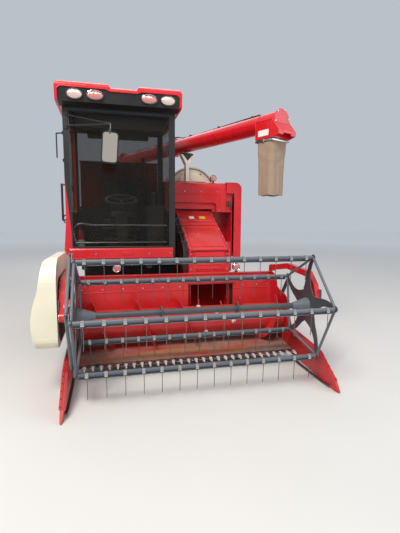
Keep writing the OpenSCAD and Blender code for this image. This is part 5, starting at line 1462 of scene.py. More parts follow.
@dataclass
class Seat:
    """The driver's seat: a sewn cushion and back, inflated by a short cloth run, on a plastic base."""

    x: float = -631
    y: float = 1710
    floor: float = 1100
    voxel: float = 0.006
    cap: float = 0.012
    pressure: float = 4
    frames: int = 20
    groove_half: float = 0.016
    groove_depth: float = 0.009
    pull_in: float = 0.05

    def inflate(self, piece: bpy.types.Object) -> None:
        """Swells a closed pad with Blender's cloth and caps how far each point moves."""
        Bench.clear()
        Bench.pick(piece)
        net = piece.modifiers.new("net", "REMESH")
        net.mode = "VOXEL"
        net.voxel_size = self.voxel * 2
        bpy.ops.object.modifier_apply(modifier=net.name)
        start = [v.co.copy() for v in piece.data.vertices]
        soft = piece.modifiers.new("soft", "CLOTH")
        soft.settings.use_pressure = True
        soft.settings.uniform_pressure_force = self.pressure
        soft.settings.effector_weights.gravity = 0
        scene = bpy.context.scene
        for frame in range(1, self.frames + 1):
            scene.frame_set(frame)
        bpy.ops.object.modifier_apply(modifier=soft.name)
        scene.frame_set(1)
        for v, old in zip(piece.data.vertices, start):
            step = v.co - old
            if step.length > self.cap:
                v.co = old + step.normalized() * self.cap
        smooth = piece.modifiers.new("finer", "SUBSURF")
        smooth.levels = smooth.render_levels = 1
        bpy.ops.object.modifier_apply(modifier=smooth.name)

    def pad(
            self, name: str, low: Point, high: Point, grooves: Sequence[float], tilt: float = 0.0
    ) -> bpy.types.Object:
        """One crowned pad with sewn channels.

        Args:
            name: the pad's name.
            low: its lowest corner.
            high: its highest corner.
            grooves: x of each sewn channel, from the seat's middle.
            tilt: lean to the rear, in degrees, about the lower front edge.
        """
        body = Bench.box(name, low, high, 26, 4)
        self.inflate(body)
        centre = at((low[0] + high[0]) / 2, (low[1] + high[1]) / 2, (low[2] + high[2]) / 2)
        half = [(high[i] - low[i]) / 2 / METRE for i in range(3)]
        for v in body.data.vertices:
            d = v.co - centre
            for g in grooves:
                off = d.x - g / METRE
                if abs(off) < self.groove_half:
                    v.co -= d.normalized() * self.groove_depth * (
                        1 + math.cos(math.pi * off / self.groove_half)) / 2
            pinch = min(1.0, abs(d.x) / half[0]) * min(1.0, abs(d.y) / half[1]) * min(1.0, abs(d.z) / half[2])
            v.co -= d * self.pull_in * pinch
        if tilt:
            body.data.transform(pivoted(at(self.x, low[1], low[2]), -tilt, "X"))
        return body

    def build(self) -> None:
        """Builds the cushion, the back and the base under them."""
        x, y, f = self.x, self.y, self.floor
        seat = self.pad(
            "seat_cushion", (x - 236, y - 250, f + 308), (x + 236, y + 206, f + 402), (-118, 0, 118))
        back = self.pad(
            "seat_back", (x - 226, y + 150, f + 392), (x + 226, y + 252, f + 928), (-112, 0, 112), 10)
        for piece in (seat, back):
            dress(piece, "root", SEAT_CLOTH, smooth=60)
        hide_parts("cab_seat")
        base = [
            Bench.box("base", (x - 196, y - 176, f + 1), (x + 196, y + 156, f + 150), 18, 3),
            Bench.box("slide", (x - 210, y - 200, f + 150), (x + 210, y + 180, f + 182), 8),
            Bench.box("pan", (x - 226, y - 240, f + 282), (x + 226, y + 200, f + 312), 10, 3),
            Bench.box("bellows", (x - 180, y - 160, f + 182), (x + 180, y + 150, f + 284), 30, 3)]
        fit("seat_base", base, "root", PLASTIC)


@dataclass
class Body:
    """The thresher's panels: front hood, side shield, cream drum cover and straw hood."""

    x0: float = 20
    x1: float = 930
    y0: float = 1950
    hood: float = 2030
    shield: float = 1050
    drum: Flat = (400, 1905)
    drum_r: float = 360

    def hood_trim(self) -> None:
        """Bead and seal round the feeder's mouth, seams, hatch, bolts and work lamp on the front hood."""
        y = self.y0 - 31
        mouth = [(x, y, z) for x, z in rounded((42, 1500), (688, 1750), 42, 6) if z > 1640]
        line = [(688, y, 1626), *mouth, (42, y, 1626)]
        parts = [
            Bench.bead("bead", line, 14, 3), Bench.bead("seam", [(-28, y, 1862), (824, y, 1862)], 9),
            Bench.bead("seam", [(760, y, 1626), (760, y, 1940)], 9),
            Bench.plate(
                "hatch", rounded((90, 1996), (560, 2196), 34), Plane.TOP, self.hood - 2, self.hood + 8, 4, 3)]
        fit("hood_trim", parts, "root", RED)
        places = [(x, y + 1, 1900) for x in (30, 240, 470, 700)] + [(x, y + 1, 1650) for x in (-10, 730)]
        bolted("hood_bolts", "root", places, -Y, 15)
        seal = Bench.bead("mouth_seal", [(x, y + 8, z) for x, _, z in line], 12)
        dress(seal, "root", RUBBER)
        work_lamp("hood_lamp_glass", (660, self.y0 + 50, self.hood + 60), "root")

    def latch(self, x: float, y: float, z: float, axis: Vector) -> bpy.types.Object:
        """A pressed pull latch with its keeper, its face along the axis."""
        if axis.x:
            parts = [
                Bench.box("plate", (x, y - 24, z - 44), (x + 4, y + 24, z + 44), 3),
                Bench.box("pull", (x + 3, y - 12, z - 34), (x + 13, y + 12, z + 22), 4),
                Bench.rod("pin", (x + 6, y - 18, z + 24), (x + 6, y + 18, z + 24), 9, 14)]
        else:
            parts = [
                Bench.box("plate", (x - 24, y - 4, z - 44), (x + 24, y, z + 44), 3),
                Bench.box("pull", (x - 12, y - 13, z - 34), (x + 12, y - 3, z + 22), 4),
                Bench.rod("pin", (x - 18, y - 6, z + 24), (x + 18, y - 6, z + 24), 9, 14)]
        return Bench.join("latch", parts)

    def shield_trim(self) -> None:
        """Pressings, louvres, latches and screws on the left side shield."""
        x = self.shield
        parts = [
            Bench.plate("pressing", rounded((1990, 1090), (2700, 1840), 60), Plane.SIDE, x - 2, x + 7, 5, 3),
            Bench.plate("pressing", rounded((2860, 1090), (3760, 1430), 60), Plane.SIDE, x - 2, x + 7, 5, 3),
            Bench.bead("seam", [(x, 2780, 966), (x, 2780, 1930)], 9),
            Bench.bead("seam", [(x, 1906, 1900), (x, 3844, 1900)], 8)]
        fit("shield_pressings", parts, "root", RED)
        slat = Bench.plate(
            "shield_louvres", [(x - 2, 1520), (x + 16, 1500), (x + 18, 1504), (x + 1, 1545), (x - 2, 1545)],
            Plane.FRONT, 2900, 3720, 1)
        dress(Bench.copies(slat, [shift(0, 0, 52 * i) for i in range(6)]), "root", RED)
        latches = [self.latch(x, y, 1030, X) for y in (2050, 2720, 3700)] + [
            self.latch(873, self.y0 - 50, 1734, Y)]
        fit("shield_latches", latches, "root", PLASTIC)
        places = [(x, y, z) for y in (1930, 2360, 2820, 3300, 3820) for z in (980, 1870)]
        bolted("shield_screws", "root", places, X, 14)

    def drum_trim(self) -> None:
        """The drum cover's rolled rims, straps, pressed dish, dark joint and bolts."""
        def ring(r: float, y: float, a0: float, a1: float) -> list[Point]:
            angles = [math.radians(a0 + (a1 - a0) * i / 28) for i in range(29)]
            return [(u, y, v) for u, v in around(self.drum, r, angles)]

        rims = [Bench.bead("rim", ring(self.drum_r - 2, y, -2, 182), 16, 3) for y in (2264, 3896)]
        rims += [Bench.bead("strap", ring(self.drum_r + 1, y, 0, 180), 11) for y in (2720, 3380)]
        rims.append(
            Bench.plate(
                "dish", around((self.drum[0], self.drum[1] + 175), 190, turns(40), 105), Plane.FRONT, 2252,
                2262, 5, 3))
        fit("drum_cover_rims", rims, "root", CREAM)
        joint = Bench.bead("drum_cover_joint", ring(self.drum_r - 22, 2259, 2, 178), 12)
        dress(joint, "root", RUBBER)
        places = [(u, 2259, v) for u, v in around(self.drum, 300, map(math.radians, (28, 62, 118, 152)))]
        bolted("drum_cover_bolts", "root", places, -Y, 22)

    def straw_trim(self) -> None:
        """Stiffening ribs, hinge knuckles and bolts on the straw hood."""
        parts = []
        for side, x in ((-1, self.x0 + 20), (1, self.x1 - 20)):
            low, high = sorted((x, x + side * 9))
            for y in (4230, 4400):
                parts.append(
                    Bench.plate(
                        "rib",
                        [(y, 1080), (y + 30, 1080), (y + 30, 1740 - (y - 4190)), (y, 1760 - (y - 4190))],
                        Plane.SIDE, low, high, 3))
        for x in (180, 475, 770):
            parts.append(Bench.rod("knuckle", (x - 40, 4160, 1858), (x + 40, 4160, 1858), 22, 20))
        fit("straw_hood_ribs", parts, "root", RED)
        places = [(x, 4540, z) for x in (70, 330, 620, 880) for z in (1110, 1400)]
        bolted("straw_hood_bolts", "root", places, Y, 15)

    def build(self) -> None:
        """Builds the body's details."""
        self.hood_trim()
        self.shield_trim()
        self.drum_trim()
        self.straw_trim()


@dataclass
class Tank:
    """The grain tank and its elevator: rim bead, lid, seams, bolts, sight window, cap and doors."""

    x0: float = -1150
    x1: float = -80
    y0: float = 2260
    y1: float = 3900
    low: float = 1480
    top: float = 2310

    def build(self) -> None:
        """Builds the tank's details."""
        z = self.top - 21
        corners = [
            (self.x0 + 4, self.y0 - 2), (self.x1 - 4, self.y0 - 2), (self.x1 - 4, self.y1 + 2),
            (self.x0 + 4, self.y1 + 2)]
        parts = [
            Bench.bead("rim", [(x, y, z) for x, y in [*corners, corners[0]]], 15, 3),
            Bench.plate(
                "lid", rounded((self.x0 + 170, self.y0 + 120), (self.x1 - 200, self.y0 + 1080), 50),
                Plane.TOP, self.top - 2, self.top + 9, 5, 3),
            Bench.bead(
                "seam",
                [(self.x0 + 12, self.y0 + 20, self.low + 330), (self.x0 + 12, self.y1 - 20, self.low + 330)],
                8),
            Bench.bead(
                "seam", [(self.x0 + 30, self.y1, self.low + 100), (self.x1 - 30, self.y1, self.low + 100)], 8)
        ]
        fit("tank_trim", parts, "root", RED)
        places = [(self.x0 + 1, self.y0 + 40 + 195 * i, self.top - 44) for i in range(9)]
        bolted("tank_bolts", "root", places, -X, 14)
        window = Bench.plate(
            "tank_window", rounded((self.y0 + 540, self.low + 420), (self.y0 + 640, self.low + 700), 30),
            Plane.SIDE, self.x0 + 4, self.x0 + 11.8, 1.5, 2)
        dress(window, "root", GLASS)
        seal = [
            (self.x0 + 9, u, v)
            for u, v in rounded((self.y0 + 534, self.low + 414), (self.y0 + 646, self.low + 706), 34)]
        dress(Bench.bead("tank_window_seal", [*seal, seal[0]], 13), "root", RUBBER)
        head = [Bench.rod("cap", (-79, 3390, 2270), (-86, 3390, 2270), 110, 32)]
        fit("elevator_cap", head, "root", CAST)
        chain = [
            Bench.box("door", (-60, 3298, 1500), (0, 3301, 1700), 2),
            Bench.box("door", (-60, 3298, 1000), (0, 3301, 1160), 2)]
        fit("elevator_doors", chain, "root", RED)


@dataclass
class Engine:
    """The engine with its fittings, the screen's mesh, fuel tank straps, exhaust clamps and steps."""

    x0: float = -1150
    y0: float = 2260
    length: float = 780
    block: Flat = (-960, -280)
    top: float = 1300

    def fittings(self) -> None:
        """Rocker cover with ribs, pulleys with a belt, and air filter."""
        cx = (self.block[0] + self.block[1]) / 2
        rib = Bench.box(
            "rib", (self.block[0] + 80, 2350, self.top + 18), (self.block[1] - 160, 2366, self.top + 34), 4)
        ribs = Bench.copies(rib, [shift(0, 72 * i) for i in range(8)])
        cover = [
            Bench.plate(
                "cover", rounded((self.block[0] + 70, 2336), (self.block[1] - 150, 2954), 30), Plane.TOP,
                self.top + 0.4, self.top + 20, 6, 3),
            ribs]
        fit("rocker_cover", cover, "root", CAST)
        face = self.block[0]
        shafts = ((2560, 920, 150), (2440, 1080, 110), (2760, 1060, 130))
        wheels = [Bench.rod("pulley", (face - 62, y, z), (face - 42, y, z), d, 36) for y, z, d in shafts]
        wheels += [Bench.rod("hub", (face - 70, y, z), (face - 40, y, z), 44, 24) for y, z, _ in shafts]
        fit("engine_pulleys", wheels, "root", CAST)
        belt = Bench.pipe(
            "engine_belt", [
                (self.block[0] - 52, y, z)
                for y, z in (
                    (2386, 1082), (2440, 1134), (2500, 1150), (2700, 1142), (2760, 1126), (2824, 1070),
                    (2800, 1010), (2640, 880), (2560, 844), (2490, 890), (2386, 1082))],
            12, 2)
        dress(belt, "root", RUBBER)
        filt = [
            Bench.rod("filter", (cx + 120, 2420, 1376), (cx + 120, 2760, 1376), 96, 36),
            Bench.rod("end", (cx + 120, 2408, 1376), (cx + 120, 2424, 1376), 102, 36)]
        fit("air_filter", filt, "root", PLASTIC)

    def screen(self) -> None:
        """Fine wire mesh behind the screen's slots, and its catch."""
        Bench.clear()
        low, high = at(self.x0 + 11, self.y0 + 60, 850), at(self.x0 + 11, self.y0 + self.length - 40, 1400)
        bpy.ops.mesh.primitive_grid_add(
            x_subdivisions=78, y_subdivisions=62, size=1, rotation=(0, math.pi / 2, 0))
        mesh = Bench.settle("screen_mesh")
        mesh.data.transform(
            Matrix.Translation((low + high) / 2) @ Matrix.Diagonal((1, high.y - low.y, high.z - low.z, 1)))
        wire = mesh.modifiers.new("wire", "WIREFRAME")
        wire.thickness = 0.0022
        bpy.ops.object.modifier_apply(modifier=wire.name)
        dress(mesh, "engine_screen", CAST, smooth=None)
        catch = [
            Bench.box("catch", (self.x0 - 12, self.y0 + 16, 1100), (self.x0 - 1, self.y0 + 50, 1190), 4),
            Bench.rod("pin", (self.x0 - 18, self.y0 + 33, 1170), (self.x0, self.y0 + 33, 1170), 14, 16)]
        fit("screen_catch", catch, "engine_screen", PLASTIC)

    def tank(self) -> None:
        """Straps and the filler's cap with its grip on the fuel tank."""
        straps = []
        for x in (-1040, -760):
            line = rounded((3108, 781), (3782, 1092), 62, 6)
            straps.append(Bench.bead("strap", [(x, u, v) for u, v in [*line, line[0]]], 12))
        fit("fuel_tank_straps", straps, "root", BRIGHT)
        cap = [
            Bench.rod("cap", (-1060, 3200, 1114), (-1060, 3200, 1140), 88, 32, 80),
            Bench.box("grip", (-1096, 3194, 1138), (-1024, 3206, 1150), 4)]
        fit("fuel_cap", cap, "root", PLASTIC)

    def pipe(self) -> None:
        """Clamps, guard hoops and the rain flap on the exhaust."""
        x, y = -300, 2195
        hoops = [Bench.ring("clamp", (x, y, z), Z, 50, 9) for z in (1330, 1610, 1890)] + [
            Bench.ring("clamp", (x, y, z), Z, 28, 8) for z in (1935, 2300)]
        for z in (1400, 1460, 1520, 1680, 1740, 1800):
            hoops.append(Bench.ring("hoop", (x, y, z), Z, 53, 5))
        fit("exhaust_clamps", hoops, "root", BRIGHT)
        flap = [
            Bench.rod("flap", (x + 2, y, 2345), (x - 6, y, 2352), 66, 28),
            Bench.rod("pivot", (x + 32, y - 26, 2340), (x + 32, y + 26, 2340), 9, 12)]
        fit("exhaust_flap", flap, "root", CAST)

    def steps(self) -> None:
        """Grip strips on the treads and bolts on the stringers."""
        strip = Bench.plate(
            "step_grips",
            [(-1346 + 6 * (i % 2), 1404 + 16.5 * i) for i in range(24)] + [
                (-1338 + 6 * (i % 2), 1404 + 16.5 * i) for i in range(23, -1, -1)],
            Plane.TOP, 449.5, 455, 0.8)
        moves = [shift(30 * i, 0, h) for i in range(4) for h in (0, 260, 520)]
        dress(Bench.copies(strip, moves), "root", BRIGHT)
        places = [(-1248, 1399, z) for z in (442, 702, 962)]
        bolted("step_bolts", "root", places, -Y, 16)

    def build(self) -> None:
        """Builds the engine's and the steps' details."""
        self.fittings()
        self.screen()
        self.tank()
        self.pipe()
        self.steps()


@dataclass
class Unloader:
    """The unloading auger: slewing gear, flange bolts, pipes, outlet trim and the canvas sleeve.

    Its folds are waves round the sleeve, each with its count, start, drift and depth in millimetres.
    """

    x: float = -574
    y: float = 4110
    tube: float = 200
    height: float = 2550
    length: float = 3860
    angle: float = -65.8
    flange: float = 1884
    turntable: float = 1960
    sleeve: Point = (240, 262, 590)
    folds: tuple[tuple[float, ...], ...] = ((5, 0.7, 0.6, 3.4), (11, 2.2, -1.7, 2.2), (17, 4.1, 2.5, 1.2))

    def swing(self, piece: bpy.types.Object) -> bpy.types.Object:
        """Moves a piece from the boom's own frame, x along the boom, to its stowed place."""
        turn = Matrix.Rotation(math.radians(self.angle), 4, "Z")
        piece.data.transform(Matrix.Translation(at(self.x, self.y, 0)) @ turn @ Matrix.Translation(MIDDLE))
        return piece

    def circle(self, x: float, r: float, n: int, turn: float = 0.0) -> list[Point]:
        """Places round the boom's axis at a distance along it."""
        return [(x, y, z) for y, z in around((0, self.height), r, [a + turn for a in turns(n)])]

    def flanges(self) -> None:
        """Bolts on the boom's flanges, nuts on the turntable and the slewing gear's teeth."""
        for name, x, side, body in (
                ("flange_bolts_a", 176, -1, "post"), ("flange_bolts_b", 210, 1, "boom"),
                ("flange_bolts_c", self.flange - 14, -1, "boom"),
                ("flange_bolts_d", self.flange + 14, 1, "boom")):
            dress(
                self.swing(Bench.bolts(name, self.circle(x, self.tube / 2 + 17, 8, 0.39), X * side, 16)),
                body, BRIGHT)
        teeth = []
        for i, a in enumerate(turns(240)):
            teeth += around((self.x, self.y), 154 if i % 4 < 2 else 163, [a])
        gear = Bench.plate("slewing_gear", teeth, Plane.TOP, self.turntable - 27, self.turntable - 4, 0)
        dress(gear, "root", CAST)
        nuts = [(x, y, self.turntable + 30.4) for x, y in around((self.x, self.y), 138, turns(12))]
        bolted("turntable_nuts", "post", nuts, Z, 18)
        mx, my = self.x + 132, self.y + 138
        pinion = []
        for r, a in zip([20, 20, 26, 26] * 12, turns(48)):
            pinion += around((mx, my), r, [a])
        motor = [
            Bench.rod("motor", (mx, my, self.turntable - 190), (mx, my, self.turntable - 50), 82, 32),
            Bench.rod("neck", (mx, my, self.turntable - 52), (mx, my, self.turntable - 28), 54, 28),
            Bench.plate("pinion", pinion, Plane.TOP, self.turntable - 27, self.turntable - 4),
            Bench.box(
                "bracket", (self.x + 60, self.y + 100, self.turntable - 60),
                (mx + 44, my + 44, self.turntable - 46), 4)]
        fit("slewing_motor", motor, "root", CAST)

    def tube_trim(self) -> None:
        """Weld beads on the boom and its post, and two rigid pipes with clips along the boom."""
        parts = [
            self.swing(Bench.ring("weld", (x, 0, self.height), X, self.tube / 2 + 1, 7))
            for x in (212, self.flange - 17, self.flange + 17, self.length - 243)]
        fit("boom_welds", parts, "boom", RED)
        welds = [
            Bench.ring("weld", (self.x, self.y, z), Z, self.tube / 2 + 1, 8)
            for z in (self.turntable + 32, 2300, 2440)]
        fit("post_welds", welds, "post", RED)
        pipes = [
            Bench.pipe(
                "pipe", [
                    (700, y, self.height + 112), (1700, y, self.height + 112), (1800, y, self.height + 140),
                    (1960, y, self.height + 140), (2060, y, self.height + 112), (3560, y, self.height + 112)],
                12, 2)
            for y in (-14, 14)]
        pipes += [
            Bench.box("clip", (x, -26, self.height + 98), (x + 22, 26, self.height + 121), 4)
            for x in (760, 1350, 2250, 2850, 3440)]
        dress(self.swing(Bench.join("boom_pipes", pipes)), "boom", DARK)

    def pad(self) -> None:
        """The rubber pad in the boom's rest, just under the tube."""
        x, top = self.flange + 266, self.height - self.tube / 2 - 36
        outline = [
            (-103, top + 0.4), (-80, top + 0.4), (0, top - 79), (80, top + 0.4), (103, top + 0.4),
            (99, top + 24), (64, top + 29), (-64, top + 29), (-99, top + 24)]
        dress(self.swing(Bench.plate("rest_pad", outline, Plane.SIDE, x - 27, x + 27, 3, 2)), "root", RUBBER)

    def outlet(self) -> None:
        """Edge beads, a bare label's place, the deflector's lip and the folded strip over its mouth."""
        x0, x1, low = self.length - 240, self.length, self.height - 190
        beads = []
        for side in (-1, 1):
            y = side * 135
            beads.append(
                Bench.bead(
                    "bead", [
                        (x0 + 4, y, low + 4), (x0 + 4, y, self.height - 6), (x1 - 4, y, self.height - 6),
                        (x1 - 4, y, low + 4), (x0 + 4, y, low + 4)],
                    10))
            beads.append(
                Bench.bead(
                    "lip", [
                        (x1, y, self.height - 20), (x1 + 84, y, low + 66), (x1 + 84, y, low + 26),
                        (x1, y, low + 4)],
                    9))
        visor = [
            (x1 + 88.4, low + 40), (x1 + 91, low + 40), (x1 + 91, low + 67), (x1 + 72, low + 91),
            (x1 + 70, low + 89), (x1 + 88.4, low + 66)]
        beads.append(Bench.plate("visor", visor, Plane.FRONT, -74, 74, 0.8))
        dress(self.swing(Bench.join("outlet_trim", beads)), "boom", RED)
        label = Bench.plate(
            "outlet_label_place", rounded((x0 + 40, low + 30), (x0 + 190, low + 92), 10), Plane.FRONT, -137.2,
            -135, 0.8)
        dress(self.swing(label), "boom", BLANK)
        cap = self.swing(Bench.bolts("end_cap_bolts", self.circle(x1 + 10, 106, 6, 0.2), X, 15))
        dress(cap, "boom", BRIGHT)

    def canvas(self) -> None:
        """The hanging canvas sleeve, its strap and buckle."""
        lx, wy, drop = self.sleeve
        x0, top = self.length - lx, self.height - 190.3
        sides, rows = 144, 44
        Bench.clear()
        bpy.ops.mesh.primitive_cylinder_add(vertices=sides, end_fill_type="NOTHING", radius=1, depth=1)
        piece = Bench.settle("canvas_sleeve")
        bpy.ops.object.mode_set(mode="EDIT")
        bpy.ops.mesh.select_all(action="SELECT")
        bpy.ops.mesh.bisect(plane_co=(0, 0, 9), plane_no=(0, 0, 1))
        bpy.ops.object.mode_set(mode="OBJECT")
        mesh = bmesh.new()
        mesh.from_mesh(piece.data)
        upright = [e for e in mesh.edges if abs(e.verts[0].co.z - e.verts[1].co.z) > 0.5]
        bmesh.ops.subdivide_edges(mesh, edges=upright, cuts=rows - 1, use_grid_fill=True)
        hx, hy = lx / 2 - 5, wy / 2 - 5
        for v in mesh.verts:
            a = math.atan2(v.co.y, v.co.x)
            t = 0.5 - v.co.z
            c, s = math.cos(a), math.sin(a)
            corner = 7.0 - 2.2 * min(1.0, t * 1.6)
            r = 1 / ((abs(c) / hx) ** corner + (abs(s) / hy) ** corner) ** (1 / corner)
            deep = min(1.0, t * 2.4) * (0.45 + 0.55 * t)
            fold = sum(math.sin(n * a + start + drift * t) * depth for n, start, drift, depth in self.folds)
            crease = 1.8 * math.sin(26 * t + 2.0 * math.sin(2 * a)) * math.exp(-((t - 0.30) / 0.2) ** 2)
            waist = -3 * math.sin(math.pi * min(1.0, t * 1.15)) - 9 * t
            r += deep * fold * 0.9 + crease + waist - (7 if t > 0.02 else 0) * deep
            r = min(r, 1 / ((abs(c) / hx) ** 9 + (abs(s) / hy) ** 9) ** (1 / 9))
            lean = -3 * t * t
            v.co = at(
                x0 + lx / 2 + r * c + lean, r * s, top - 1 - (drop - 6) * t + 4.0 * deep * math.sin(5 * a + 1)
            )
        area = sum(f.calc_area() for f in mesh.faces)
        bmesh.ops.recalc_face_normals(mesh, faces=mesh.faces)
        mesh.to_mesh(piece.data)
        mesh.free()
        Bench.pick(piece)
        wall = piece.modifiers.new("cloth", "SOLIDIFY")
        wall.thickness, wall.offset = 0.0022, -1.0
        bpy.ops.object.modifier_apply(modifier=wall.name)
        dress(self.swing(piece), "boom", CANVAS, smooth=80, replaces=("sleeve",))
        LOG.info("canvas of %.3f square metres", area)
        loop = [
            (x0 - 1, -wy / 2 - 2), (x0 + lx + 1, -wy / 2 - 2), (x0 + lx + 1, wy / 2 + 2), (x0 - 1, wy / 2 + 2)
        ]
        bars = []
        for i in range(4):
            (ax, ay), (bx, by) = loop[i], loop[(i + 1) % 4]
            bars.append(
                Bench.box(
                    "strap", (min(ax, bx) - 2, min(ay, by) - 2, top - 26),
                    (max(ax, bx) + 2, max(ay, by) + 2, top - 6), 1.6))
        bars.append(
            Bench.box("buckle", (x0 + 90, -wy / 2 - 9, top - 30), (x0 + 130, -wy / 2 - 1, top - 3), 3))
        dress(self.swing(Bench.join("sleeve_strap", bars)), "boom", BRIGHT)

    def build(self) -> None:
        """Builds the unloader's details."""
        self.flanges()
        self.tube_trim()
        self.pad()
        self.outlet()
        self.canvas()


@dataclass
class Tracks:
    """The running gear's caps, bolts and tensioners on both sides, and the shield between the tracks."""

    middle: float = -106
    gauge: float = 1180
    sprocket: Flat = (1830, 455)
    idler: Flat = (3550, 231)
    roller: float = 131
    first: float = 2060
    pitch: float = 295

    def side(self, s: int, label: str) -> None:
        """Fittings of one side, s being 1 on the left and -1 on the right."""
        face = self.middle + s * (self.gauge / 2 + 120)
        caps, places = [], []
        for k in range(5):
            y = self.first + self.pitch * k
            caps.append(Bench.rod("cap", (face, y, self.roller), (face + s * 12, y, self.roller), 74, 28, 60))
            places += [(face, u, v) for u, v in around((y, self.roller), 52, turns(5))]
        y, z = self.idler
        caps.append(Bench.rod("cap", (face - s * 4, y, z), (face + s * 14, y, z), 100, 32, 84))
        places += [(face - s * 2, u, v) for u, v in around(self.idler, 68, turns(6))]
        y, z = self.sprocket
        inner = self.middle + s * (self.gauge / 2 + 72)
        caps.append(Bench.rod("cap", (inner, y, z), (inner + s * 26, y, z), 130, 36, 100))
        places += [(inner, u, v) for u, v in around(self.sprocket, 86, turns(6, 0.5))]
        fit(f"wheel_caps_{label}", caps, "root", CAST)
        bolted(f"wheel_bolts_{label}", "root", places, X * s, 15)
        x = self.middle + s * self.gauge / 2
        screw = [
            Bench.rod("screw", (x + s * 44, 3150, 262), (x + s * 44, 3520, 250), 34, 24),
            Bench.rod("nut", (x + s * 44, 3230, 259), (x + s * 44, 3256, 258), 58, 6)]
        fit(f"track_tensioner_{label}", screw, "root", DARK)

    def build(self) -> None:
        """Builds both sides, the belly shield ahead of the gearbox and their bolts."""
        self.side(1, "left")
        self.side(-1, "right")
        guard = Bench.plate(
            "belly_shield",
            [(1749.6, 948), (1744, 948), (1744, 752), (1716, 734), (1718, 730), (1749.6, 749)], Plane.SIDE,
            -1078, 60, 1.5)
        dress(guard, "root", DARK)
        bolted("belly_bolts", "root", [(x, 1744, 915) for x in range(-1040, -300, 180)], -Y, 15)
        places = [(x, 1680, z) for x in (-206, -106, -6) for z in (420, 520)]
        bolted("gearbox_bolts", "root", places, -Y, 18)


@dataclass
class Ram:
    """A hydraulic cylinder's gland, wiper, foot ring, ports and oil line, between its foot and its eye."""

    name: str
    foot: Flat
    eye: Flat
    x: float
    d: float
    body: str
    share: float = 0.62
    ports_beside: bool = False

    def build(
            self, move: Callable[[bpy.types.Object], bpy.types.Object] | None = None,
            along: Plane = Plane.SIDE) -> None:
        """Builds the trim.

        Args:
            move: carries the piece from the boom's frame to its place.
            along: the plane that the cylinder lies in.
        """
        foot, eye = Vector(self.foot), Vector(self.eye)
        run = (eye - foot).normalized()
        end = foot + (eye - foot) * self.share

        def spot(q: Vector, off: float = 0.0) -> Point:
            return (self.x + off, q.x, q.y) if along is Plane.SIDE else (q.x, self.x + off, q.y)

        up = Vector((-run.y, run.x)) if run.x > 0 else Vector((run.y, -run.x))

        def reach(q: Vector, k: float) -> Point:
            return spot(q, k) if self.ports_beside else spot(q + up * k)

        parts = [
            Bench.rod("gland", spot(end - run * 26), spot(end + run * 4), self.d + 5, 32),
            Bench.rod("wiper", spot(end + run * 4), spot(end + run * 10), self.d * 0.72, 28),
            Bench.rod(
                "foot", spot(foot + run * (self.d * 0.7)), spot(foot + run * (self.d * 0.95)), self.d + 4, 32)
        ]
        a, b, k = foot + run * (self.d * 1.5), end - run * 48, self.d / 2 + 9
        parts += [Bench.rod("port", spot(q), reach(q, k + 3), 17, 16) for q in (a, b)]
        parts.append(
            Bench.pipe(
                "line",
                [reach(a, k), reach(a + run * 14, k * 1.12), reach(b - run * 14, k * 1.12), reach(b, k)], 9, 2
            ))
        piece = Bench.join(self.name, parts)
        dress(move(piece) if move else piece, self.body, DARK)


# ---------------------------------------------------------------- studio


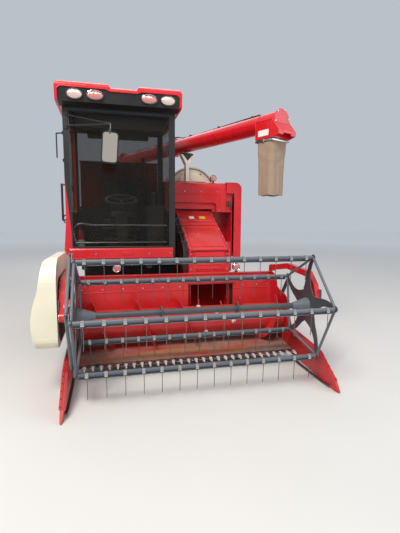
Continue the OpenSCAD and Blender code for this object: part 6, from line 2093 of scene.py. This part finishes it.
@dataclass
class Studio:
    """Pale floor, soft lights and the photograph's camera."""

    eye: Point = (-770, -3206, 1496)
    yaw: float = 13.47
    pitch: float = 6.92
    roll: float = 0.3
    focal: float = 376.16
    sensor: float = 36
    frame_height: float = 533
    sky: Point = (0.80, 0.86, 0.94)
    sky_strength: float = 0.62

    def camera(self) -> None:
        """The camera at the photograph's place, its lens worked out for a frame of 400 by 533."""
        yaw, pitch, roll = (math.radians(v) for v in (self.yaw, self.pitch, self.roll))
        look = Vector((math.sin(yaw) * math.cos(pitch), math.cos(yaw) * math.cos(pitch), -math.sin(pitch)))
        right = Vector((math.cos(yaw), -math.sin(yaw), 0))
        up = right.cross(look)
        side, top = right * math.cos(roll) + up * math.sin(roll), up * math.cos(roll) - right * math.sin(roll)
        data = bpy.data.cameras.new("camera")
        data.sensor_width = self.sensor
        data.lens = self.focal * self.sensor / self.frame_height
        data.clip_end = 400
        camera = bpy.data.objects.new("camera", data)
        bpy.context.scene.collection.objects.link(camera)
        turn = Matrix((side, top, -look)).transposed().to_4x4()
        camera.matrix_world = Matrix.Translation(at(*self.eye)) @ turn
        bpy.context.scene.camera = camera

    def light(
            self, name: str, place: Point, aim: Point, size: float, power: float, tint: Point = (1, 1, 1)
    ) -> None:
        """A square soft light that looks at a point."""
        data = bpy.data.lights.new(name, "AREA")
        data.size, data.energy, data.color = size, power, tint
        lamp = bpy.data.objects.new(name, data)
        bpy.context.scene.collection.objects.link(lamp)
        start, end = at(*place), at(*aim)
        turn = (end - start).to_track_quat("-Z", "Y").to_matrix().to_4x4()
        lamp.matrix_world = Matrix.Translation(start) @ turn

    def build(self) -> None:
        """Builds the floor, the sky's soft light, three soft boxes and the camera."""
        Bench.clear()
        bpy.ops.mesh.primitive_grid_add(x_subdivisions=20, y_subdivisions=20, size=90, location=(0, 0, 0))
        floor = Bench.settle("floor")
        floor.data.materials.append(FloorFinish("floor").material())
        world = bpy.data.worlds.new("sky")
        world.use_nodes = True
        backdrop = world.node_tree.nodes["Background"]
        backdrop.inputs[0].default_value = tone(self.sky, 1.0)
        backdrop.inputs[1].default_value = self.sky_strength
        bpy.context.scene.world = world
        self.light("key", (-3400, -4200, 7600), (0, 1200, 900), size=2.8, power=760, tint=(1.0, 0.97, 0.92))
        self.light(
            "fill", (6200, -2600, 4200), (200, 1500, 1000), size=5.0, power=160, tint=(0.92, 0.96, 1.0))
        self.light("back", (500, 9800, 7200), (0, 2500, 1200), size=6.0, power=150)
        bpy.context.scene.view_settings.view_transform = "Standard"
        self.camera()


def finish_solids(nodes: dict[str, bpy.types.Object]) -> None:
    """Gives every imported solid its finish, in its own material slots.

    Args:
        nodes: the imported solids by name.
    """
    for name, solid in nodes.items():
        finish = SOLIDS[name]
        if not solid.data.materials:
            solid.data.materials.append(None)
        for slot in solid.material_slots:
            slot.material = finish.material()
        LOG.info("%s: %s", name, finish.name)


def main() -> None:
    """Builds the harvester's looks in order."""
    logging.basicConfig(level=logging.INFO, format="%(message)s")
    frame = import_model()
    finish_solids(frame["nodes"])
    Studio().build()
    unloader = Unloader()
    builders = (Reel(), Header(), Feeder(), Cab(), Seat(), Body(), Tank(), Engine(), unloader, Tracks())
    for part in builders:
        part.build()
        LOG.info("%s is built", type(part).__name__)
    Ram("header_ram_trim", (1725, 480), (1280, 720), -306, 50, "header_cylinder").build()
    for side, label in ((-1, "right"), (1, "left")):
        Ram(f"reel_ram_trim_{label}", (810, 590), (520, 998), side * 1165, 34, "reel_cylinder").build()
    Ram(
        "boom_ram_trim", (135, 2330), (560, 2414), 0, 44, "boom_cylinder", ports_beside=True
    ).build(unloader.swing, Plane.FRONT)


if __name__ == "__main__":
    main()
